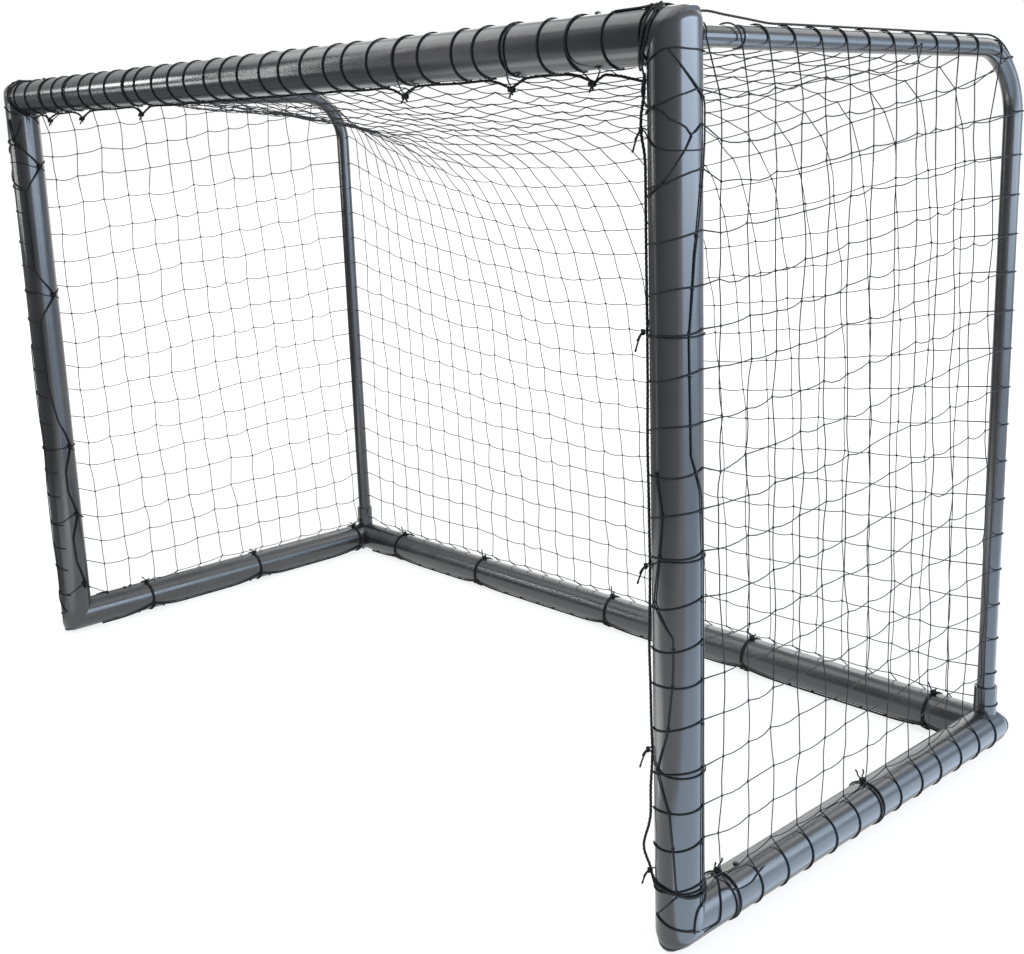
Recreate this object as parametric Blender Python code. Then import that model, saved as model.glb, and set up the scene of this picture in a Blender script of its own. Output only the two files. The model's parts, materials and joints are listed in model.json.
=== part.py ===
"""Soccer goal: mitred round tube frame, two bent stays and a tied-on net.

Metres, +Z up. The goal stands on z = 0 and its mouth faces -Y. The origin is
the middle of its footprint. Left is -X and right is +X.
"""
import math

import bmesh
import bpy
from mathutils import Matrix, Vector

for item in list(bpy.data.objects):
    bpy.data.objects.remove(item)

# Overall sizes
GOAL_HEIGHT = 1.100
POST_SPACING = 1.620       # between the posts' centre lines
BASE_DEPTH = 0.750         # from the posts' centre line to the rear bar's

# Frame tubes and the elbows inside their corners
TUBE_DIAMETER = 0.060
TUBE_WALL = 0.002
ELBOW_WALL = 0.003
ELBOW_LEG = 0.135          # from the corner's centre to the end of a leg

# Stays, the stubs they slide over and the sockets they stand in
STAY_DIAMETER = 0.027
STAY_WALL = 0.0015
STAY_BEND_RADIUS = 0.100   # of the centre line
STAY_START = 0.105         # from the post's centre line to the stay's end
STUB_WALL = 0.0015
STUB_OVERLAP = 0.080       # length of stub inside the stay
SOCKET_WALL = 0.0035
SOCKET_HEIGHT = 0.040      # above the top of the ground bars

# Spring buttons
BUTTON_DISTANCE = 0.110    # from the corner's centre, along the tube
BUTTON_DIAMETER = 0.007
BUTTON_RISE = 0.003        # above the tube
BUTTON_BEVEL = 0.0012
LEAF_LENGTH = 0.036
LEAF_WIDTH = 0.009
LEAF_THICKNESS = 0.001
STAY_BUTTON_DISTANCE = 0.040   # from the stay's front end
STAY_BUTTON_DIAMETER = 0.006
STAY_BUTTON_RISE = 0.002
STAY_LEAF_WIDTH = 0.007

# Net. One modelled gap is a few real meshes wide.
SIDE_COLUMNS = 6
SIDE_ROWS = 8
WIDE_COLUMNS = 13          # of the roof and the back
ROOF_ROWS = 5
BACK_ROWS = 7
NET_CORD = 0.003
NET_EDGE = 0.006           # width of the edge rope
NET_STEPS = 24             # straight pieces in the curve of the net's middle
SLACK_POWER = 1.8          # how evenly the slack spreads from side to side
RISE_HANDLE = 0.104        # the middle climbs from the rear bar towards a point
                           # this far above the crossbar's centre line
FALL_HANDLE_Y = 0.277      # and leaves the crossbar towards a point this far
FALL_HANDLE_Z = 0.178      # in front of the rear bar and below the crossbar

# Ties, placed by net gaps counted from the floor, the mouth or the left
TIE_CORD = 0.003
KNOT_SIZE = 0.008
SMALL_TIE_SLACK = 0.002    # play of a tie that goes round the edge rope alone
POST_TIES = {"left": (0.28, 1.48, 2.63, 5.1, 7.1),
             "right": (0.22, 1.51, 3.37, 5.58, 7.35)}
GROUND_TIES = {"left": (1.08, 3.41, 5.84), "right": (0.38, 3.41)}
CROSSBAR_TIES = (0.85, 1.9, 3.68, 9.45, 11.11, 12.2)
REAR_TIES = (1.1, 3.41, 6.58, 9.43, 12.44)

# Clearances
GAP = 0.0003               # between pieces that touch
NET_SEAM = 0.005           # between the middles of the roof's last cord and the back's

# Facets around the round pieces
TUBE_SIDES = 32
ELBOW_SIDES = 24
STAY_SIDES = 20
BUTTON_SIDES = 16
BEND_STEPS = 8
TIE_TUBE_POINTS = 13
TIE_ROPE_POINTS = 3
SMALL_TIE_POINTS = 5

# Derived sizes
tube_r = TUBE_DIAMETER / 2
tube_bore_r = tube_r - TUBE_WALL
elbow_r = tube_bore_r - GAP
elbow_bore_r = elbow_r - ELBOW_WALL
stay_r = STAY_DIAMETER / 2
stub_r = stay_r - STAY_WALL - GAP
stub_bore_r = stub_r - STUB_WALL
socket_bore_r = stay_r + GAP
socket_r = socket_bore_r + SOCKET_WALL
edge_half = NET_EDGE / 2
cord_half = NET_CORD / 2
edge_corner = math.hypot(edge_half, cord_half)

# A tie's loop follows the tube and the edge rope beside it
rope_reach = tube_r + GAP + edge_corner
tie_slope = math.acos((tube_r - edge_corner) / rope_reach)
tie_step = (2 * math.pi - 2 * tie_slope) / TIE_TUBE_POINTS
tie_reach = (tube_r + GAP + TIE_CORD) / math.cos(tie_step / 2)

# Main planes and lines. The loops on the posts reach furthest forward and
# the buttons in the rear bar reach furthest back.
post_x = POST_SPACING / 2
front_y = (tie_reach - tube_r - BUTTON_RISE - BASE_DEPTH) / 2
rear_y = front_y + BASE_DEPTH
beam_z = GOAL_HEIGHT - tube_r
base_top = TUBE_DIAMETER
small_tie_reach = (edge_corner + GAP + TIE_CORD) / math.cos(math.pi / 2 / SMALL_TIE_POINTS)
small_tie_z = base_top + GAP + small_tie_reach
net_base_z = small_tie_z + SMALL_TIE_SLACK / 2
SIDES = (("left", -1), ("right", 1))

# Rotations that turn a tube's own +Z to the world's +X and +Y
ALONG_X = (0, math.pi / 2, 0)
ALONG_Y = (-math.pi / 2, 0, 0)


def material(name, colour, roughness, metallic):
    """A Principled material."""
    made = bpy.data.materials.new(name)
    made.use_nodes = True
    shader = made.node_tree.nodes["Principled BSDF"]
    shader.inputs["Base Color"].default_value = (*colour, 1.0)
    shader.inputs["Roughness"].default_value = roughness
    shader.inputs["Metallic"].default_value = metallic
    made.diffuse_color = (*colour, 1.0)
    return made


PAINT = material("anthracite_paint", (0.105, 0.115, 0.130), 0.35, 0.3)
PLASTIC = material("black_plastic", (0.020, 0.020, 0.022), 0.60, 0.0)
STEEL = material("blackened_steel", (0.060, 0.060, 0.065), 0.40, 0.8)
NETTING = material("net_cord", (0.030, 0.032, 0.036), 0.80, 0.0)
TIE = material("tie_cord", (0.015, 0.015, 0.017), 0.75, 0.0)


def place(name, points, faces, look, location=(0, 0, 0), rotation=(0, 0, 0)):
    """An object from points and faces, with its faces turned outward."""
    mesh = bpy.data.meshes.new(name)
    mesh.from_pydata([tuple(point) for point in points], [], faces)
    shell = bmesh.new()
    shell.from_mesh(mesh)
    bmesh.ops.recalc_face_normals(shell, faces=shell.faces)
    shell.to_mesh(mesh)
    shell.free()
    mesh.shade_smooth()
    mesh.set_sharp_from_angle(angle=math.radians(35))
    mesh.materials.append(look)
    made = bpy.data.objects.new(name, mesh)
    made.location = location
    made.rotation_euler = rotation
    bpy.context.scene.collection.objects.link(made)
    return made


def ring(radius, sides):
    """Points round a circle, with the flats between them at the radius."""
    outer = radius / math.cos(math.pi / sides)
    angles = [(k + 0.5) * 2 * math.pi / sides for k in range(sides)]
    return [(outer * math.cos(a), outer * math.sin(a)) for a in angles]


def shell_faces(loops, sides):
    """Quads between each loop of points and the next, the last to the first."""
    faces = []
    for here in range(loops):
        there = (here + 1) % loops
        for k in range(sides):
            after = (k + 1) % sides
            faces.append((here * sides + k, here * sides + after,
                          there * sides + after, there * sides + k))
    return faces


def tube(name, radius, bore, start, end, look, location, rotation=(0, 0, 0),
         sides=TUBE_SIDES):
    """A straight open tube along its own Z.

    start and end give the height of each end face at a point (x, y) of the
    section, so that an end can be square, mitred or saddled.
    """
    points = []
    for size, height in ((radius, start), (radius, end), (bore, end), (bore, start)):
        points += [(x, y, height(x, y)) for x, y in ring(size, sides)]
    return place(name, points, shell_faces(4, sides), look, location, rotation)


def mitre(slope_x, slope_y, height=0.0, inward=1):
    """An end face at 45 degrees, set back by its share of the joint's gap."""
    setback = inward * GAP / math.sqrt(2)
    return lambda x, y: height + slope_x * x + slope_y * y + setback


def cut(target, name, radius, start, end):
    """Cut a round hole through target, along the line from start to end."""
    start, end = Vector(start), Vector(end)
    points = []
    for height in (0.0, (end - start).length):
        points += [(x, y, height) for x, y in ring(radius, BUTTON_SIDES)]
    faces = [tuple(range(BUTTON_SIDES)),
             tuple(range(BUTTON_SIDES, 2 * BUTTON_SIDES))]
    for k in range(BUTTON_SIDES):
        after = (k + 1) % BUTTON_SIDES
        faces.append((k, after, BUTTON_SIDES + after, BUTTON_SIDES + k))
    turn = (end - start).to_track_quat("Z", "Y").to_euler()
    cutter = place(name, points, faces, PLASTIC, start, turn)
    cutter.hide_render = True
    cutter.display_type = "WIRE"
    step = target.modifiers.new(name, "BOOLEAN")
    step.operation = "DIFFERENCE"
    step.solver = "EXACT"
    step.object = cutter


def elbow(name, corner, leg_a, leg_b):
    """A hollow corner piece with two square legs that meet at a mitre."""
    leg_a, leg_b = Vector(leg_a), Vector(leg_b)
    normal = leg_a.cross(leg_b)
    points = []
    loops = []
    for radius in (elbow_r * math.cos(math.pi / ELBOW_SIDES), elbow_bore_r):
        end_a, bend, end_b = [], [], []
        for u, v in ring(radius, ELBOW_SIDES):
            end_a.append(leg_a * ELBOW_LEG + leg_b * u + normal * v)
            bend.append((leg_a + leg_b) * u + normal * v)
            end_b.append(leg_b * ELBOW_LEG + leg_a * u + normal * v)
        loops.append([end_a, bend, end_b])
    outer, inner = loops
    for loop in outer + inner[::-1]:
        points += loop
    return place(name, points, shell_faces(6, ELBOW_SIDES), PLASTIC, corner)


def button(name, seat, outward, along, diameter, rise, leaf_width, wall_r, bore_r):
    """A domed pin on a leaf spring, through a tube of radius wall_r.

    seat is the point on the tube's centre line under the pin. The leaf lies
    against the bore of the piece that carries it.
    """
    outward, along = Vector(outward), Vector(along)
    across = along.cross(outward)
    half = leaf_width / 2
    leaf_top = math.sqrt((bore_r - GAP) ** 2 - half ** 2)
    leaf_low = leaf_top - LEAF_THICKNESS
    tip = wall_r + rise
    radius = diameter / 2
    points = []
    for height in (leaf_low, leaf_top):
        for side, end in ((1, 1), (-1, 1), (-1, -1), (1, -1)):
            points.append((side * half, end * LEAF_LENGTH / 2, height))
    angles = [2 * math.pi * k / BUTTON_SIDES for k in range(BUTTON_SIDES)]
    levels = ((radius, leaf_top), (radius, tip - BUTTON_BEVEL),
              (radius - BUTTON_BEVEL, tip - BUTTON_BEVEL / 3))
    for size, height in levels:
        points += [(size * math.cos(a), size * math.sin(a), height) for a in angles]
    points.append((0, 0, tip))
    apex = len(points) - 1
    faces = [(0, 1, 2, 3)]
    quarter = BUTTON_SIDES // 4
    for k in range(4):
        after = (k + 1) % 4
        faces.append((k, after, 4 + after, 4 + k))
        first = quarter // 2 + k * quarter
        arc = [8 + (first + n) % BUTTON_SIDES for n in range(quarter + 1)]
        faces.append((4 + k, 4 + after, *arc[::-1]))
    for level in range(2):
        low = 8 + level * BUTTON_SIDES
        for k in range(BUTTON_SIDES):
            after = (k + 1) % BUTTON_SIDES
            faces.append((low + k, low + after,
                          low + BUTTON_SIDES + after, low + BUTTON_SIDES + k))
    low = 8 + 2 * BUTTON_SIDES
    for k in range(BUTTON_SIDES):
        faces.append((low + k, low + (k + 1) % BUTTON_SIDES, apex))
    turn = Matrix((across, along, outward)).transposed().to_euler()
    return place(name, points, faces, STEEL, seat, turn)


def saddle(sign_x, sign_y, height_gap=GAP):
    """Height of a mitred corner's outside over its centre, plus a gap.

    Each tube of the corner rules on its own side of the mitre, so the larger
    of the two offsets gives the height.
    """
    def height(x, y):
        offset = max(sign_x * x, sign_y * y)
        return math.sqrt(tube_r ** 2 - offset ** 2) + height_gap
    return height


def stay(name, x):
    """A bent tube: back from the top corner, round the bend and down."""
    bend_y = rear_y - STAY_BEND_RADIUS
    bend_z = beam_z - STAY_BEND_RADIUS
    path = [((front_y + STAY_START, beam_z), (0.0, 1.0))]
    for step in range(BEND_STEPS + 1):
        angle = math.pi / 2 * step / BEND_STEPS
        outward = (math.sin(angle), math.cos(angle))
        path.append(((bend_y + STAY_BEND_RADIUS * outward[0],
                      bend_z + STAY_BEND_RADIUS * outward[1]), outward))
    path.append(((rear_y, base_top + GAP), (1.0, 0.0)))
    loops = []
    for radius in (stay_r, stay_r - STAY_WALL):
        line = []
        for (y, z), (out_y, out_z) in path:
            line.append([(u, y + v * out_y, z + v * out_z)
                         for u, v in ring(radius, STAY_SIDES)])
        loops.append(line)
    points = [point for loop in loops[0] + loops[1][::-1] for point in loop]
    faces = shell_faces(2 * len(path), STAY_SIDES)
    return place(name, points, faces, PAINT, (x, 0, 0))


def along_path(path, share, shift=0.0):
    """The point at a share of a polyline's length, moved on by a shift."""
    spans = [(b - a).length for a, b in zip(path, path[1:])]
    rest = share * sum(spans) + shift
    for a, b, span in zip(path, path[1:], spans):
        if rest <= span + 1e-9:
            return a.lerp(b, min(1.0, rest / span))
        rest -= span
    return path[-1].copy()


def patch(low, high, first, last, columns, rows):
    """A grid of points that fills four edge lines.

    low and high run along the columns, first and last along the rows.
    """
    grid = []
    for j in range(rows + 1):
        v = j / rows
        line = []
        for i in range(columns + 1):
            u = i / columns
            across = along_path(low, u) * (1 - v) + along_path(high, u) * v
            upward = along_path(first, v) * (1 - u) + along_path(last, v) * u
            corners = (low[0] * (1 - u) + low[-1] * u) * (1 - v)
            corners += (high[0] * (1 - u) + high[-1] * u) * v
            line.append(across + upward - corners)
        grid.append(line)
    return grid


def netting(name, grid, roped_rows):
    """Cords of square section along a grid's lines.

    The first and last columns are wider edge ropes, and so are roped_rows.
    """
    rows, columns = len(grid), len(grid[0])
    wide, tall = 2 * columns, 2 * rows
    layers = {1: {}, -1: {}}
    points = []
    for j in range(rows):
        for i in range(columns):
            east = (grid[j][min(i + 1, columns - 1)] - grid[j][max(i - 1, 0)]).normalized()
            north = (grid[min(j + 1, rows - 1)][i] - grid[max(j - 1, 0)][i]).normalized()
            face = east.cross(north).normalized() * cord_half
            half_u = edge_half if i in (0, columns - 1) else cord_half
            half_v = edge_half if j in roped_rows else cord_half
            for layer in (1, -1):
                for v in (0, 1):
                    for u in (0, 1):
                        layers[layer][2 * i + u, 2 * j + v] = len(points)
                        points.append(grid[j][i] + east * half_u * (2 * u - 1)
                                      + north * half_v * (2 * v - 1) + face * layer)

    def solid(a, b):
        inside = 0 <= a < wide - 1 and 0 <= b < tall - 1
        return inside and not (a % 2 and b % 2)

    faces = []
    for b in range(tall - 1):
        for a in range(wide - 1):
            if not solid(a, b):
                continue
            square = [(a, b), (a + 1, b), (a + 1, b + 1), (a, b + 1)]
            faces.append([layers[1][key] for key in square])
            faces.append([layers[-1][key] for key in square[::-1]])
            beyond = [(a, b - 1), (a + 1, b), (a, b + 1), (a - 1, b)]
            for k, neighbour in enumerate(beyond):
                if not solid(*neighbour):
                    one, two = square[k], square[(k + 1) % 4]
                    faces.append([layers[1][two], layers[1][one],
                                  layers[-1][one], layers[-1][two]])
    return place(name, points, faces, NETTING)


def belt(big, small, spacing, offset, big_count, small_count):
    """Corners of a closed band round two circles, at an offset from both."""
    slope = math.acos((big - small) / spacing)
    corners = []
    for radius, centre, start, span, count in (
            (big, 0.0, slope, 2 * math.pi - 2 * slope, big_count),
            (small, spacing, -slope, 2 * slope, small_count)):
        step = span / count
        reach = (radius + offset) / math.cos(step / 2)
        for k in range(count):
            angle = start + (k + 0.5) * step
            corners.append((centre + reach * math.cos(angle), reach * math.sin(angle)))
    return corners


def tie(name, centre, towards, knot_side, circles, knot_at):
    """A cord tied round a tube and an edge rope, or round the rope alone.

    towards points from the first circle to the second, and the knot stands
    out on knot_side, at the corner of the band numbered knot_at.
    """
    towards, knot_side = Vector(towards), Vector(knot_side)
    axis = towards.cross(knot_side)
    inner = belt(*circles[:3], GAP, *circles[3:])
    outer = belt(*circles[:3], GAP + TIE_CORD, *circles[3:])
    knotted = belt(*circles[:3], GAP + KNOT_SIZE, *circles[3:])
    points = []
    for k in range(len(inner)):
        reach = knotted[k] if k == knot_at else outer[k]
        half = (KNOT_SIZE if k == knot_at else TIE_CORD) / 2
        for (u, v), side in ((inner[k], 1), (reach, 1), (reach, -1), (inner[k], -1)):
            points.append(towards * u + knot_side * v + axis * half * side)
    faces = shell_faces(len(inner), 4)
    return place(name, points, faces, TIE, centre)


def stations(start, end, count, picks):
    """Places along a net's edge, given in gaps from its start."""
    return [start + (end - start) * pick / count for pick in picks]


# Front posts
for side, sign in SIDES:
    tube("post_" + side, tube_r, tube_bore_r,
         mitre(0, 1), mitre(sign, 0, beam_z - tube_r, inward=-1),
         PAINT, (sign * post_x, front_y, tube_r))

# Crossbar
crossbar = tube("crossbar", tube_r, tube_bore_r,
                mitre(1, 0), mitre(-1, 0, POST_SPACING, inward=-1),
                PAINT, (-post_x, front_y, beam_z), ALONG_X)

# Ground frame
ground_bars = {}
for side, sign in SIDES:
    ground_bars[side] = tube("ground_bar_" + side, tube_r, tube_bore_r,
                             mitre(0, -1), mitre(sign, 0, BASE_DEPTH, inward=-1),
                             PAINT, (sign * post_x, front_y, tube_r), ALONG_Y)
rear_bar = tube("ground_bar_rear", tube_r, tube_bore_r,
                mitre(0, -1), mitre(0, 1, POST_SPACING, inward=-1),
                PAINT, (-post_x, rear_y, tube_r), ALONG_X)

# Elbows inside the mitred corners, and the stays with their stubs and sockets
elbows = {}
stubs = {}
stays = {}
for side, sign in SIDES:
    x = sign * post_x
    elbows["top", side] = elbow("elbow_top_" + side, (x, front_y, beam_z),
                                (0, 0, -1), (-sign, 0, 0))
    elbows["front", side] = elbow("elbow_front_" + side, (x, front_y, tube_r),
                                  (0, 0, 1), (0, 1, 0))
    elbows["rear", side] = elbow("elbow_rear_" + side, (x, rear_y, tube_r),
                                 (0, -1, 0), (-sign, 0, 0))
    stub_end = STAY_START + STUB_OVERLAP
    stubs[side] = tube("stay_stub_" + side, stub_r, stub_bore_r,
                       saddle(sign, -1), lambda u, v: stub_end,
                       PAINT, (x, front_y, beam_z), ALONG_Y, STAY_SIDES)
    stays[side] = stay("stay_" + side, x)
    socket_top = tube_r + SOCKET_HEIGHT
    tube("stay_socket_" + side, socket_r, socket_bore_r,
         saddle(sign, 1), lambda u, v: socket_top,
         PAINT, (x, rear_y, tube_r), (0, 0, 0), STAY_SIDES)

# Spring buttons through the elbows' free legs, and through the stubs
hole_r = BUTTON_DIAMETER / 2 + GAP
stay_hole_r = STAY_BUTTON_DIAMETER / 2 + GAP
for side, sign in SIDES:
    x = sign * post_x
    inner_x = sign * (post_x - BUTTON_DISTANCE)
    places = (
        ("ground", ground_bars[side], elbows["front", side],
         (x, front_y + BUTTON_DISTANCE, tube_r), (0, 0, 1), (0, 1, 0)),
        ("crossbar", crossbar, elbows["top", side],
         (inner_x, front_y, beam_z), (0, 0, 1), (1, 0, 0)),
        ("rear", rear_bar, elbows["rear", side],
         (inner_x, rear_y, tube_r), (0, 1, 0), (1, 0, 0)),
    )
    for where, outer, carrier, seat, outward, along in places:
        name = "button_" + where + "_" + side
        button(name, seat, outward, along, BUTTON_DIAMETER, BUTTON_RISE,
               LEAF_WIDTH, tube_r, elbow_bore_r)
        seat, outward = Vector(seat), Vector(outward)
        for number, target in enumerate((outer, carrier)):
            cut(target, "hole_%s_%s_%d" % (where, side, number), hole_r,
                seat + outward * elbow_bore_r / 2,
                seat + outward * TUBE_DIAMETER)
    seat = Vector((x, front_y + STAY_START + STAY_BUTTON_DISTANCE, beam_z))
    outward = Vector((-sign, 0, 0))
    button("button_stay_" + side, seat, outward, (0, 1, 0), STAY_BUTTON_DIAMETER,
           STAY_BUTTON_RISE, STAY_LEAF_WIDTH, stay_r, stub_bore_r)
    for number, target in enumerate((stays[side], stubs[side])):
        cut(target, "hole_stay_%s_%d" % (side, number), stay_hole_r,
            seat + outward * stub_bore_r / 2, seat + outward * STAY_DIAMETER)

# Net, side panels: inside the outline of post, stay, upright and ground bar
net_front_y = front_y + rope_reach
net_rear_y = rear_y - socket_r - GAP - edge_corner
net_top_z = beam_z - stay_r - GAP - edge_corner
bend_y = rear_y - STAY_BEND_RADIUS
bend_z = beam_z - STAY_BEND_RADIUS
corner_r = STAY_BEND_RADIUS - socket_r - GAP - edge_corner
corner_45 = corner_r * math.sqrt(0.5)
for side, sign in SIDES:
    x = sign * post_x
    rounded = Vector((x, bend_y + corner_45, bend_z + corner_45))
    low = [Vector((x, net_front_y, net_base_z)), Vector((x, net_rear_y, net_base_z))]
    high = [Vector((x, net_front_y, net_top_z)), Vector((x, bend_y, net_top_z)), rounded]
    first = [low[0], high[0]]
    last = [low[1], Vector((x, net_rear_y, bend_z)), rounded]
    netting("net_side_" + side,
            patch(low, high, first, last, SIDE_COLUMNS, SIDE_ROWS), (0, SIDE_ROWS))

# Net, roof and back: one sheet from the rear bar up and over to the crossbar.
# It follows the stays at its sides and hangs in one long curve in the middle.
net_x = post_x - socket_r - GAP - edge_corner
net_start = Vector((0, rear_y, net_base_z))
net_end = Vector((0, net_front_y, beam_z))
side_line = [net_start]
for step in range(BEND_STEPS + 1):
    angle = math.pi / 2 * step / BEND_STEPS
    side_line.append(Vector((0, bend_y + STAY_BEND_RADIUS * math.cos(angle),
                             bend_z + STAY_BEND_RADIUS * math.sin(angle))))
side_line.append(net_end)
handles = (net_start, Vector((0, rear_y, beam_z + RISE_HANDLE)),
           Vector((0, rear_y - FALL_HANDLE_Y, beam_z - FALL_HANDLE_Z)), net_end)
middle_line = []
for step in range(NET_STEPS + 1):
    t = step / NET_STEPS
    weights = ((1 - t) ** 3, 3 * t * (1 - t) ** 2, 3 * t * t * (1 - t), t ** 3)
    middle_line.append(sum((w * h for w, h in zip(weights, handles)), Vector()))


def sheet(first_row, last_row, low_shift, high_shift):
    """The sheet's grid points from one row to another."""
    grid = []
    for j in range(first_row, last_row + 1):
        share = j / (ROOF_ROWS + BACK_ROWS)
        shift = {first_row: low_shift, last_row: high_shift}.get(j, 0.0)
        beside = along_path(side_line, share, shift)
        sagging = along_path(middle_line, share, shift)
        line = []
        for i in range(WIDE_COLUMNS + 1):
            u = 2 * i / WIDE_COLUMNS - 1
            point = beside.lerp(sagging, 1 - abs(u) ** SLACK_POWER)
            point.x = net_x * u
            line.append(point)
        grid.append(line)
    return grid


netting("net_back", sheet(0, BACK_ROWS, 0.0, -NET_SEAM / 2), (0,))
netting("net_roof", sheet(BACK_ROWS, BACK_ROWS + ROOF_ROWS, NET_SEAM / 2, 0.0),
        (ROOF_ROWS,))

# Ties on the posts and the crossbar go round the tube and the edge rope
around_tube = (tube_r, edge_corner, rope_reach, TIE_TUBE_POINTS, TIE_ROPE_POINTS)
knot_corner = 1
for side, sign in SIDES:
    heights = stations(net_base_z, net_top_z, SIDE_ROWS, POST_TIES[side])
    for number, z in enumerate(heights, 1):
        tie("tie_post_%s_%d" % (side, number), (sign * post_x, front_y, z),
            (0, 1, 0), (-sign, 0, 0), around_tube, knot_corner)
for number, x in enumerate(stations(-net_x, net_x, WIDE_COLUMNS, CROSSBAR_TIES), 1):
    tie("tie_crossbar_%d" % number, (x, front_y, beam_z),
        (0, 1, 0), (0, 0, -1), around_tube, knot_corner)

# Ties on the ground bars lie on top of the tube, round the edge rope alone
around_rope = (edge_corner, edge_corner, SMALL_TIE_SLACK,
               SMALL_TIE_POINTS, SMALL_TIE_POINTS)
for side, sign in SIDES:
    lengths = stations(net_front_y, net_rear_y, SIDE_COLUMNS, GROUND_TIES[side])
    for number, y in enumerate(lengths, 1):
        tie("tie_ground_%s_%d" % (side, number), (sign * post_x, y, small_tie_z),
            (0, 0, 1), (-sign, 0, 0), around_rope, 8)
for number, x in enumerate(stations(-net_x, net_x, WIDE_COLUMNS, REAR_TIES), 1):
    tie("tie_rear_%d" % number, (x, rear_y, small_tie_z),
        (0, 0, 1), (0, -1, 0), around_rope, 8)
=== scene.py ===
"""Looks of the soccer goal: painted tubes, knotted net, edge ropes, ties, floor and light.

Metres, in the frame of the CAD. Points of the net and the ropes are first
written with y = 0 on the posts' centre line, and moved back at the end.
"""
import json
import math

import bpy
import numpy as np
from mathutils import Matrix, Vector

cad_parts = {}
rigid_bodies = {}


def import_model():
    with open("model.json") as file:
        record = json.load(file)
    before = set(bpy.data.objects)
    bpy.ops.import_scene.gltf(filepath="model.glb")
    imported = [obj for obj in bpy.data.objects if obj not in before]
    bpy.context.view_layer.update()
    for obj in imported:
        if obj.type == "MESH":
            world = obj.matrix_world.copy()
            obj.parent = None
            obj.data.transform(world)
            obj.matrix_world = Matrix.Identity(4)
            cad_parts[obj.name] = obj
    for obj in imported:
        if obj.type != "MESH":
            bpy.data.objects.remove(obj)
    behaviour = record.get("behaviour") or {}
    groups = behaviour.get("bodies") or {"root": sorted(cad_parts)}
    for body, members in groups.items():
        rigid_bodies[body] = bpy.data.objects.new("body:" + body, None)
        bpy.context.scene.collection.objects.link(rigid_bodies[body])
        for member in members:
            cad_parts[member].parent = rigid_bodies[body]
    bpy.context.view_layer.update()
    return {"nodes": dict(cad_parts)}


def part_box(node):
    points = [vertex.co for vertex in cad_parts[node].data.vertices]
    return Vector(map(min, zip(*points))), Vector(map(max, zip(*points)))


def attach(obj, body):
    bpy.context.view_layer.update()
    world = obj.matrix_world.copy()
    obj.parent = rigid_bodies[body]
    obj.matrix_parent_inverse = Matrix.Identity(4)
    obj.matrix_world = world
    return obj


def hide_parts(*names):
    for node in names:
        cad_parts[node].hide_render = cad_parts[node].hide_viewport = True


for item in list(bpy.data.objects):
    bpy.data.objects.remove(item)

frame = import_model()
nodes = frame["nodes"]
rng = np.random.default_rng(11)
X, Y, Z = np.eye(3)
SIDES = (("left", -1), ("right", 1))

# Sizes taken from the CAD
post_low, post_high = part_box("post_right")
stay_low, stay_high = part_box("stay_right")
rear_low, rear_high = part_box("ground_bar_rear")
beam_low, beam_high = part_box("crossbar")
socket_low, socket_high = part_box("stay_socket_right")
TUBE_R = (post_high.x - post_low.x) / 2
POST_X = (post_high.x + post_low.x) / 2
FRONT_Y = (post_high.y + post_low.y) / 2
DEPTH = (rear_high.y + rear_low.y) / 2 - FRONT_Y
BEAM_Z = (beam_high.z + beam_low.z) / 2
BASE_Z = TUBE_R
STAY_R = (stay_high.x - stay_low.x) / 2
STAY_FRONT = stay_low.y - FRONT_Y
SOCKET_R = (socket_high.x - socket_low.x) / 2
SOCKET_TOP = socket_high.z

# Sizes that repeat the CAD's
STAY_BEND = 0.100
TUBE_WALL = 0.002
STAY_WALL = 0.0015
BUTTON_REACH = 0.110         # from a corner, along the tube
STAY_BUTTON_REACH = 0.040    # from the stay's front end

# Cords and ropes
CORD_R = 0.00076         # hanging free
WRAP_CORD_R = 0.00105    # pressed wide on a tube
ROPE_R = 0.0019
ROPE_LAY = 0.018         # length of a strand's turn
ROPE_STEP = 0.003
COURSE_STEP = 0.004      # between points along a tube
STRANDS = 3
STRAND_SHARE = 0.54      # a strand's radius in the rope's
TIE_R = 0.0012
THIN_TIE_R = 0.0009


# ---- Mesh building

class Skin:
    """Collects tubes and other surfaces into one mesh with a UV map."""

    def __init__(self):
        self.points, self.faces, self.uvs = [], [], []
        self.count = 0

    def add(self, points, faces, uvs=None):
        """points (n, 3), faces (m, 4) and their corners' uvs (m, 4, 2)."""
        self.points.append(np.asarray(points, float))
        self.faces.append(np.asarray(faces, int) + self.count)
        self.uvs.append(np.zeros((len(faces), 4, 2)) if uvs is None else uvs)
        self.count += len(points)

    def make(self, name, material, sharp_angle=None):
        points = np.concatenate(self.points) + (0.0, FRONT_Y, 0.0)
        faces = np.concatenate(self.faces)
        uvs = np.concatenate(self.uvs)
        mesh = bpy.data.meshes.new(name)
        mesh.vertices.add(len(points))
        mesh.vertices.foreach_set("co", points.astype(np.float32).ravel())
        mesh.loops.add(faces.size)
        mesh.loops.foreach_set("vertex_index", faces.astype(np.int32).ravel())
        mesh.polygons.add(len(faces))
        mesh.polygons.foreach_set("loop_start", np.arange(0, faces.size, 4, dtype=np.int32))
        mesh.update(calc_edges=True)
        mesh.validate()
        layer = mesh.uv_layers.new(name="UVMap")
        layer.data.foreach_set("uv", uvs.astype(np.float32).ravel())
        mesh.shade_smooth()
        if sharp_angle:
            mesh.set_sharp_from_angle(angle=math.radians(sharp_angle))
        return place_mesh(name, mesh, material)


def place_mesh(name, mesh, material):
    """Puts a mesh with its material into the scene."""
    mesh.materials.append(material)
    made = bpy.data.objects.new(name, mesh)
    bpy.context.scene.collection.objects.link(made)
    return made


def dress(piece, replaced=()):
    """Puts a finished piece on the frame's body."""
    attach(piece, "frame")
    if replaced:
        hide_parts(*replaced)


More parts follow.
